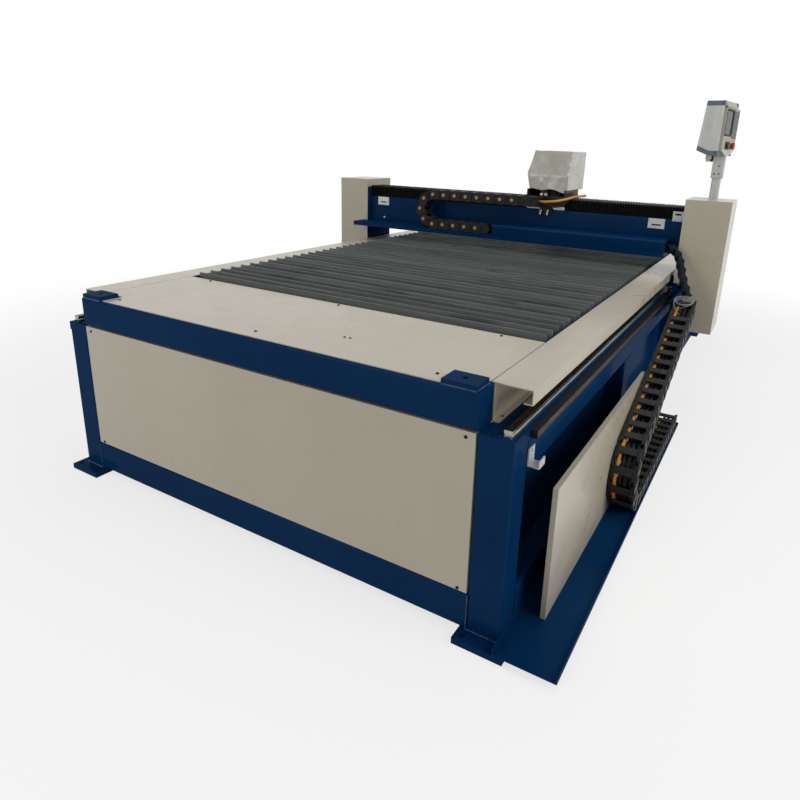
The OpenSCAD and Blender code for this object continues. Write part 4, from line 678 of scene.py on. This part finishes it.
def bellows(name, node, x0, x1, groups):
    """Pleated cover over the cross rails: an arch of front, top and back carried along x, drawn in
    by the fold depth at every valley, with a flat land on each ridge and valley. Groups of pleats
    are made one piece each, one after another from the gantry at x0 to the carriage at x1."""
    (y0, y1), (z0, z1) = ARCH_Y, ARCH_Z
    folds = round(abs(x1 - x0) / PLEAT)
    arch = np.array([[y0, z] for z in np.linspace(z0, z1 - 4, 5)] + [[y0 + 1.2, z1 - 1.2]]
                    + [[y, z1] for y in np.linspace(y0 + 4, y1 - 4, 9)] + [[y1 - 1.2, z1 - 1.2]]
                    + [[y1, z] for z in np.linspace(z1 - 4, z0, 5)])
    off = (y0 + y1) / 2 - arch[:, 0]
    on_wall, on_top = np.abs(off) > 60, arch[:, 1] > z1 - 10
    inward = np.stack([np.clip(off, -1, 1) * on_wall, -1.0 * on_top], -1)
    sway = np.random.default_rng(4).normal(0, 0.5, folds + 1)
    bounds = [round(folds * f) for f in np.linspace(0, 1, groups + 1)]
    step = (x1 - x0) / folds
    for first, last in zip(bounds[:-1], bounds[1:]):
        k = np.repeat(np.arange(first, last), len(LANDS))
        part = np.tile(LANDS, last - first)
        drawn = np.tile([0.0, 0.0, FOLD_DEPTH, FOLD_DEPTH], last - first) + np.abs(sway[k])
        x = np.append(x0 + (k + part) * step, x0 + last * step)
        drawn = np.append(drawn, abs(sway[last]))
        rows = []
        for d in (drawn, drawn + CLOTH):
            flat = arch[None] + inward[None] * d[:, None, None]
            along = np.broadcast_to(x[:, None, None], flat.shape[:2] + (1,))
            rows.append(np.concatenate([along, flat], -1))
        cloth = skin(np.concatenate([rows[0], rows[1][:, ::-1]], 1))
        piece = make(f"{name}_{first + 1}", [(cloth, black_rubber)], None, 20)
        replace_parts(piece, node)
        ends = [np.array([x0 + f * step, *ARCH_MIDDLE]) for f in (first, last)]
        stretch(piece, ("gantry", "carriage"), *ends, first / folds, last / folds)


bellows("left_bellows", "bellows_left", -939.5, 109.5, 5)
bellows("right_bellows", "bellows_right", 939.5, 330.5, 4)


def resampled(outline, count):
    """A closed outline as count points at even steps along it."""
    loop = np.concatenate([outline, outline[:1]])
    s = np.concatenate([[0], np.cumsum(np.linalg.norm(np.diff(loop, axis=0), axis=1))])
    at = np.linspace(0, s[-1], count, endpoint=False)
    return np.stack([np.interp(at, s, loop[:, k]) for k in (0, 1)], -1)


def crumple(points, depth, seed):
    """Creased depth at each point: the mean of |sin| of plane waves of 45 to 160 mm in seeded
    directions, which has flat facets and sharp folds, times depth."""
    rng = np.random.default_rng(seed)
    total = np.zeros(points.shape[:-1])
    for length in (160, 120, 90, 70, 55, 45):
        way = rng.normal(size=3)
        way *= np.pi / (length * np.linalg.norm(way))
        total += np.abs(np.sin(points @ way + rng.uniform(0, np.pi)))
    return depth * total / 6


HOOD_POINTS, HOOD_ROWS, HOOD_CORNER, CRUMPLE_SEED = 132, 26, 7.0, 11
BULGE_RISE, BULGE_REACH, HEM = 15, 95, 20


def wrapped_hood(x0, x1, y0, y1, z0, z_slope, z1, back, wall, depth, loose, droop):
    """Sheet hood in film, open below: level rings of a rounded rectangle from the lower edge up, the
    front drawn back above z_slope, then rings that shrink to the middle of the top, and the same
    rings a wall further in back down. Loose film stands out on the left about z_slope. All are set
    in and out by the crumple, and the hem hangs in a wave, with a droop at the near right corner."""
    shrink = np.array([0.985, 0.95, 0.85, 0.7, 0.5, 0.3, 0.05])
    heights = np.concatenate([np.linspace(z0, z1 - 3, HOOD_ROWS), [z1 - 0.8]])
    walls = []
    for inward in (0.0, wall):
        rings = []
        for z in heights:
            front = y0 + back * max(0.0, (z - z_slope) / (z1 - z_slope)) + inward
            outline = rounded(x1 - x0 - 2 * inward, y1 - inward - front, HOOD_CORNER, 3)
            flat = resampled(outline, HOOD_POINTS) + [(x0 + x1) / 2, (front + y1 - inward) / 2]
            out = loose * max(0.0, 1 - abs(z - z_slope - BULGE_RISE) / BULGE_REACH)
            flat[:, 0] -= out * (x1 - flat[:, 0]) / (x1 - x0)
            rings.append(np.concatenate([flat, np.full((HOOD_POINTS, 1), z - inward * (z > z0 + 1))], -1))
        top = rings[-1].mean(0)
        rings += [top + (rings[-1] - top) * s + Z * 0.8 for s in shrink]
        walls.append(np.array(rings))
    points = np.concatenate([walls[0][::-1], walls[1]])
    away = points - np.array([(x0 + x1) / 2, (y0 + y1) / 2, (z0 + z1) / 2 - 40])
    away /= np.linalg.norm(away, axis=-1, keepdims=True)
    points = points + away * (0.6 * depth - crumple(points * [1, 0.5, 1], depth, CRUMPLE_SEED))[..., None]
    x, y, z = (points[..., i] for i in range(3))
    hang = np.clip((z0 + HEM - z) / HEM, 0, 1)
    corner = np.clip((x - x1 + 60) / 60, 0, 1) * np.clip((y0 + 160 - y) / 120, 0, 1)
    wave = 4 * np.sin(x / 17) * np.sin(y / 29 + 1) - 1
    points[..., 2] += hang * (wave - droop * corner)
    return skin(points)


hood = wrapped_hood(x0=112, x1=328, y0=210, y1=510, z0=1092, z_slope=1168, z1=1295, back=46, wall=2.0,
                    depth=6.0, loose=18.0, droop=16.0)
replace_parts(make("film_wrapped_hood", [(hood, film_wrap)], "carriage", 30), "lifter_cover")

# control lead beside the torch lead, from the chain end to the carriage side plate
CONTROL_R = 5.0
CONTROL_ROUTE = [[196, 78, 1031], [225, 78, 1030], [255, 84, 1023], [290, 102, 1012], [322, 128, 1012],
                 [346, 154, 1030], [357, 176, 1054], [359, 202, 1070], [357, 240, 1072], [352, 275, 1071],
                 [341, 305, 1070], [324, 326, 1069]]
cord("control_lead", smooth_path(CONTROL_ROUTE, 90), CONTROL_R, "carriage", black_pvc, count=12)


def pan_screw(at, axis, r, material=zinc_plate):
    """Pan head with a domed rim and a sunk recess."""
    return (turned([(r, -0.5), (r, 0.25 * r), (0.82 * r, 0.5 * r), (0.45 * r, 0.62 * r), (0.36 * r, 0.3 * r)],
                   at, axis, 12), material)


def socket_screw(at, axis, r):
    """Socket head: a bevelled cylinder with a black six-sided prism level with its top, painted shade that
    stands for the sunk socket.
    """
    rim = turned([(r, -0.5), (r, 1.1 * r), (0.9 * r, 1.25 * r), (0.6 * r, 1.25 * r)], at, axis, 12)
    # black hexagon on the head: painted shade in place of the socket's recess
    socket_shade = turned([(0.58 * r, 0.6 * r), (0.58 * r, 1.26 * r)], at, axis, 6)
    return [(rim, bolt_steel), (socket_shade, black_pvc)]


RIPPLE = 3.5


def bead(a, b, r, seed):
    """Weld bead from a to b: a tube whose radius swells at every ripple and wanders a little."""
    a, b = np.asarray(a, float), np.asarray(b, float)
    length = np.linalg.norm(b - a)
    s = np.linspace(0, length, max(int(2 * length / RIPPLE), 4))
    wander = np.random.default_rng(seed).normal(0, 0.25, len(s))
    radius = r * (0.9 + 0.14 * np.cos(TURN * s / RIPPLE)) + wander
    line = a + (b - a) * (s / length)[:, None]
    across = Z if abs(b - a)[2] < 0.9 * length else X
    return (tube(line, radius[:, None] * np.ones(6), 6, across), weld_navy)


# deck edge strips that lap the front and rear tubes between the cap plates
STRIP_W, STRIP_D, STRIP_LAP, STRIP_BEVEL = 1394, 55.3, 0.2, 0.3
deck_low, deck_high = (np.array(c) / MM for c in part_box("top_plates"))
deck_z = deck_high[2]
strip_y = deck_high[1] + STRIP_D / 2 - STRIP_LAP
strip = rounded(STRIP_W, STRIP_D, 1.0, 2)
strip_t = deck_z - deck_low[2]
strips = [plate(strip, strip_t, [0, end * strip_y, deck_low[2]], STRIP_BEVEL) for end in (-1, 1)]
make("deck_edge_strips", [(shape, beige_enamel) for shape in strips], "table")

DECK_SCREWS = [(x, y) for x in (-664, 13, 664) for y in (-1797, -1378)]
SMALL_SCREWS = [(273, -1683), (293, -1681)]
PANEL_SCREW_X, PANEL_SCREW_Z = 781, (596, 143)
screws = [pan_screw([x, y, deck_z], Z, 5, bolt_steel) for x, y in DECK_SCREWS]
screws += [pan_screw([x, y, deck_z], Z, 4, bolt_steel) for x, y in SMALL_SCREWS]
screws += [pan_screw([x, -y, deck_z], Z, 5, bolt_steel) for x, y in DECK_SCREWS]
panel_y = abs(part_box("end_panels")[0][1]) / MM
screws += [pan_screw([side * PANEL_SCREW_X, end * panel_y, z], end * Y, 5, bolt_steel)
           for side in (-1, 1) for end in (-1, 1) for z in PANEL_SCREW_Z]
make("panel_screws", screws, "table")

RAIL_X, RAIL_TOP, RAIL_CAP_Y = 888, 636, np.arange(-1800, 1801, 80)
RAIL_CAP, GROMMET = [(5.4, -0.3), (5.4, 0.1), (5.1, 0.18)], [(5.0, -0.3), (5.0, 0.12), (4.8, 0.2)]
BEAM_SCREWS, BEAM_SCREW_Z, BEAM_SCREW_R = ((838, 1838), (862, 1812), (868, 1841)), 614, 4.2
GROMMET_AT = np.array([824, 1722, 617])
caps_and_bolts = []
for side in (-1, 1):
    for y in RAIL_CAP_Y:
        caps_and_bolts.append((turned(RAIL_CAP, [side * RAIL_X, y, RAIL_TOP], Z, 10), bolt_steel))
    for end in (-1, 1):
        for x, y in BEAM_SCREWS:
            caps_and_bolts += socket_screw([side * x, end * y, BEAM_SCREW_Z], Z, BEAM_SCREW_R)
        caps_and_bolts.append((turned(GROMMET, GROMMET_AT * [side, end, 1], Z, 12), black_pvc))
make("rail_bolt_caps", caps_and_bolts, "table")

# beads round a cap plate and up the leg at one corner of the table: start, end, radius and seed
CORNER_BEADS = [((703, 1849, 723), (803, 1849, 723), 3.0, 1), ((803, 1848, 723), (803, 1776, 723), 3.0, 2),
                ((703, 1775, 723), (803, 1775, 723), 3.0, 3), ((703, 1848, 723), (703, 1776, 723), 3.0, 4),
                ((813, 1851, 24), (813, 1851, 130), 2.6, 5)]
LEG_X, LEG_Y, LEG_HALF, FOOT_TOP, FOOT_BEAD_R = (813, 913), (-1800, -600, 600, 1800), 50, 21, 3.2
welds = []
for side in (-1, 1):
    for end in (-1, 1):
        corner = np.array([side, end, 1])
        welds += [bead(corner * a, corner * b, r, seed) for a, b, r, seed in CORNER_BEADS]
    for y in LEG_Y:
        near, far = y - LEG_HALF, y + LEG_HALF
        foot = [(LEG_X[0], near), (LEG_X[1], near), (LEG_X[1], far), (LEG_X[0], far)]
        for k in range(4):
            (xa, ya), (xb, yb) = foot[k], foot[(k + 1) % 4]
            ends = [side * xa, ya, FOOT_TOP], [side * xb, yb, FOOT_TOP]
            welds.append(bead(*ends, FOOT_BEAD_R, 6 + k))
make("weld_beads", welds, "table")

HEX_HEAD, WASHER = [(7.5, -0.5), (7.5, 5), (6.8, 6), (4, 6.4)], [(10, -0.5), (10, 1.4), (9.5, 1.9)]
BARREL = [(6, 0), (6, 22), (5.6, 23), (5.6, 29), (4.8, 30)]
LOCK_NUT, CABLE_BOOT = [(9.5, 6), (9.5, 11), (8.8, 11.6)], [(5.4, -7), (5.8, -6), (5.8, 1)]
SENSOR_TILT, SENSOR_Y, SENSOR_Z = about(X, -20) @ -Z, 169, 986
BOLT_Y, BOLT_Z = 178.2, 1064
sensors = [(block([118.5, 396, 1037.5], [321.5, 400, 1091], 0.8), motor_paint),
           (block([191, 178.2, 1003], [233, 186.0, 1082], 1.0), motor_paint),
           (block([196, 178.6, 955], [262, 181.2, 1014], 0.8), motor_paint)]
for x in (200, 224):
    sensors += [(turned(HEX_HEAD, [x, BOLT_Y, BOLT_Z], -Y, 6), chrome),
                (turned(WASHER, [x, BOLT_Y, BOLT_Z], -Y, 20), chrome)]
for x in (206, 246):
    at = [x, SENSOR_Y, SENSOR_Z]
    sensors += [(turned(BARREL, at, SENSOR_TILT, 20), chrome), (turned(LOCK_NUT, at, SENSOR_TILT, 6), chrome),
                (turned(CABLE_BOOT, at, SENSOR_TILT, 16), black_pvc)]
make("carriage_front_sensors", sensors, "carriage")

STOP_X0, STOP_X1, STOP_Y = 886.0, 936.0, 187.0
# the slot is a thin black plate on the white plate's face: painted shade for the opening
slot = plate(rounded(30, 9, 4.4), 0.5, [(STOP_X0 + STOP_X1) / 2, STOP_Y + 0.1, 1012], 0.1, X, Z, -Y)
stop_plate = [(block([STOP_X0, STOP_Y, 978], [STOP_X1, STOP_Y + 2.9, 1027], 0.6), white_nylon),
              (slot, black_pvc)]
stop_plate += [pan_screw([x, STOP_Y, 984], -Y, 3.4) for x in (STOP_X0 + 10, STOP_X1 - 10)]
stop_plate += [pan_screw([-835, 190, 859], -Y, 7, white_nylon)]
for x in (813.0, -842.0):
    stop_plate += [pan_screw([x + dx, STOP_Y, 976], -Y, 3.6) for dx in (-30, 30)]
make("travel_stop_plates", stop_plate, "gantry")

BOX_TURN = about(Z, -9)
BOX_AT = np.array([1043.0, 320.0, 1297.0])


def on_box(parts):
    """Parts in the control box's own frame, front along x, set on its pole."""
    return [(move(shape, BOX_TURN, BOX_AT), material) for shape, material in parts]


def front_plate(y0, y1, z0, z1, x, t, r, material):
    """Rounded plate on the box front from one corner to the other."""
    return (plate(rounded(y1 - y0, z1 - z0, r), t, [x, (y0 + y1) / 2, (z0 + z1) / 2], 0.3, Y, Z, X), material)


FRONT, SKIN, BUTTON_Z = 29.0, 28.7, 47
KEY, KEY_STEP, FIRST_KEY, KEY_ROWS, KEY_COLUMNS = 9.0, 19.5, (36, 96), 6, 4
SCREEN_STRIPS = ((-108, -99, 90, 212), (13, 22, 90, 212), (-100, 14, 203, 212), (-100, 14, 90, 99))
STOP_RING = [(21, -0.4), (21, 0.3), (20.6, 0.5)]
KEY_SWITCH = [(11, -0.4), (11, 3.5), (10, 4.5), (9, 4.5), (8.6, 8), (7.6, 8.8)]
START_RING = [(14, -0.4), (14, 1.6), (13.2, 2.2), (10.6, 2.2), (10.2, 0.9)]
GLAND = [(13, 2), (13, -8), (15, -9), (15, -24), (13.6, -26), (10.5, -27), (10.5, -36), (9.4, -38)]
SHADE, SHADE_LENGTH = np.array([[17.0, 224], [31, 219], [31, 221.5], [17, 246]]), 175
panel = [front_plate(-101, 15, 97, 205, 25.0, 1.6, 3.0, screen_glass),
         front_plate(24, 107, 82, 207, SKIN, 1.1, 4.0, panel_film)]
for y0, y1, z0, z1 in SCREEN_STRIPS:
    panel.append(front_plate(y0, y1, z0, z1, SKIN, 1.3, 1.2, black_pvc))
for row in range(KEY_ROWS):
    for column in range(KEY_COLUMNS):
        y, z = FIRST_KEY[0] + KEY_STEP * column - KEY / 2, FIRST_KEY[1] + KEY_STEP * row - KEY / 2
        panel.append(front_plate(y, y + KEY, z, z + KEY, FRONT + 0.6, 1.0, 2.0, key_film))
panel += [front_plate(-62, 12, 30, 66, SKIN, 1.0, 3.0, black_pvc),
          (turned(STOP_RING, [FRONT, 30, BUTTON_Z], X, 28), yellow_abs),
          (turned(KEY_SWITCH, [FRONT, -4, BUTTON_Z], X, 24), black_pvc),
          (turned(START_RING, [FRONT, -30, BUTTON_Z], X, 24), bolt_steel)]
for y, material in ((-22, white_nylon), (22, black_pvc)):
    panel.append((turned(GLAND, [-46, y, 9], Z, 20), material))
for side, z in ((-1, 12), (1, 12), (-1, 234), (1, 234)):
    panel.append(pan_screw([6, side * 120, z], side * Y, 2.6, bolt_steel))
make("control_box_front", on_box(panel), "gantry")
shade = on_box([(plate(SHADE, SHADE_LENGTH, [0, 55, 0], 0.4, X, Z, -Y), shade_abs)])
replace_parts(make("narrow_screen_shade", shade, "gantry"), "screen_shade")
SLEEVE_SCREWS = ((5, 1249), (-12, 1212), (9, 1212))
sleeve = [pan_screw([BOX_AT[0] + x, 294, z], -Y, 3.6, bolt_steel) for x, z in SLEEVE_SCREWS]
make("sleeve_screws", sleeve, "gantry")
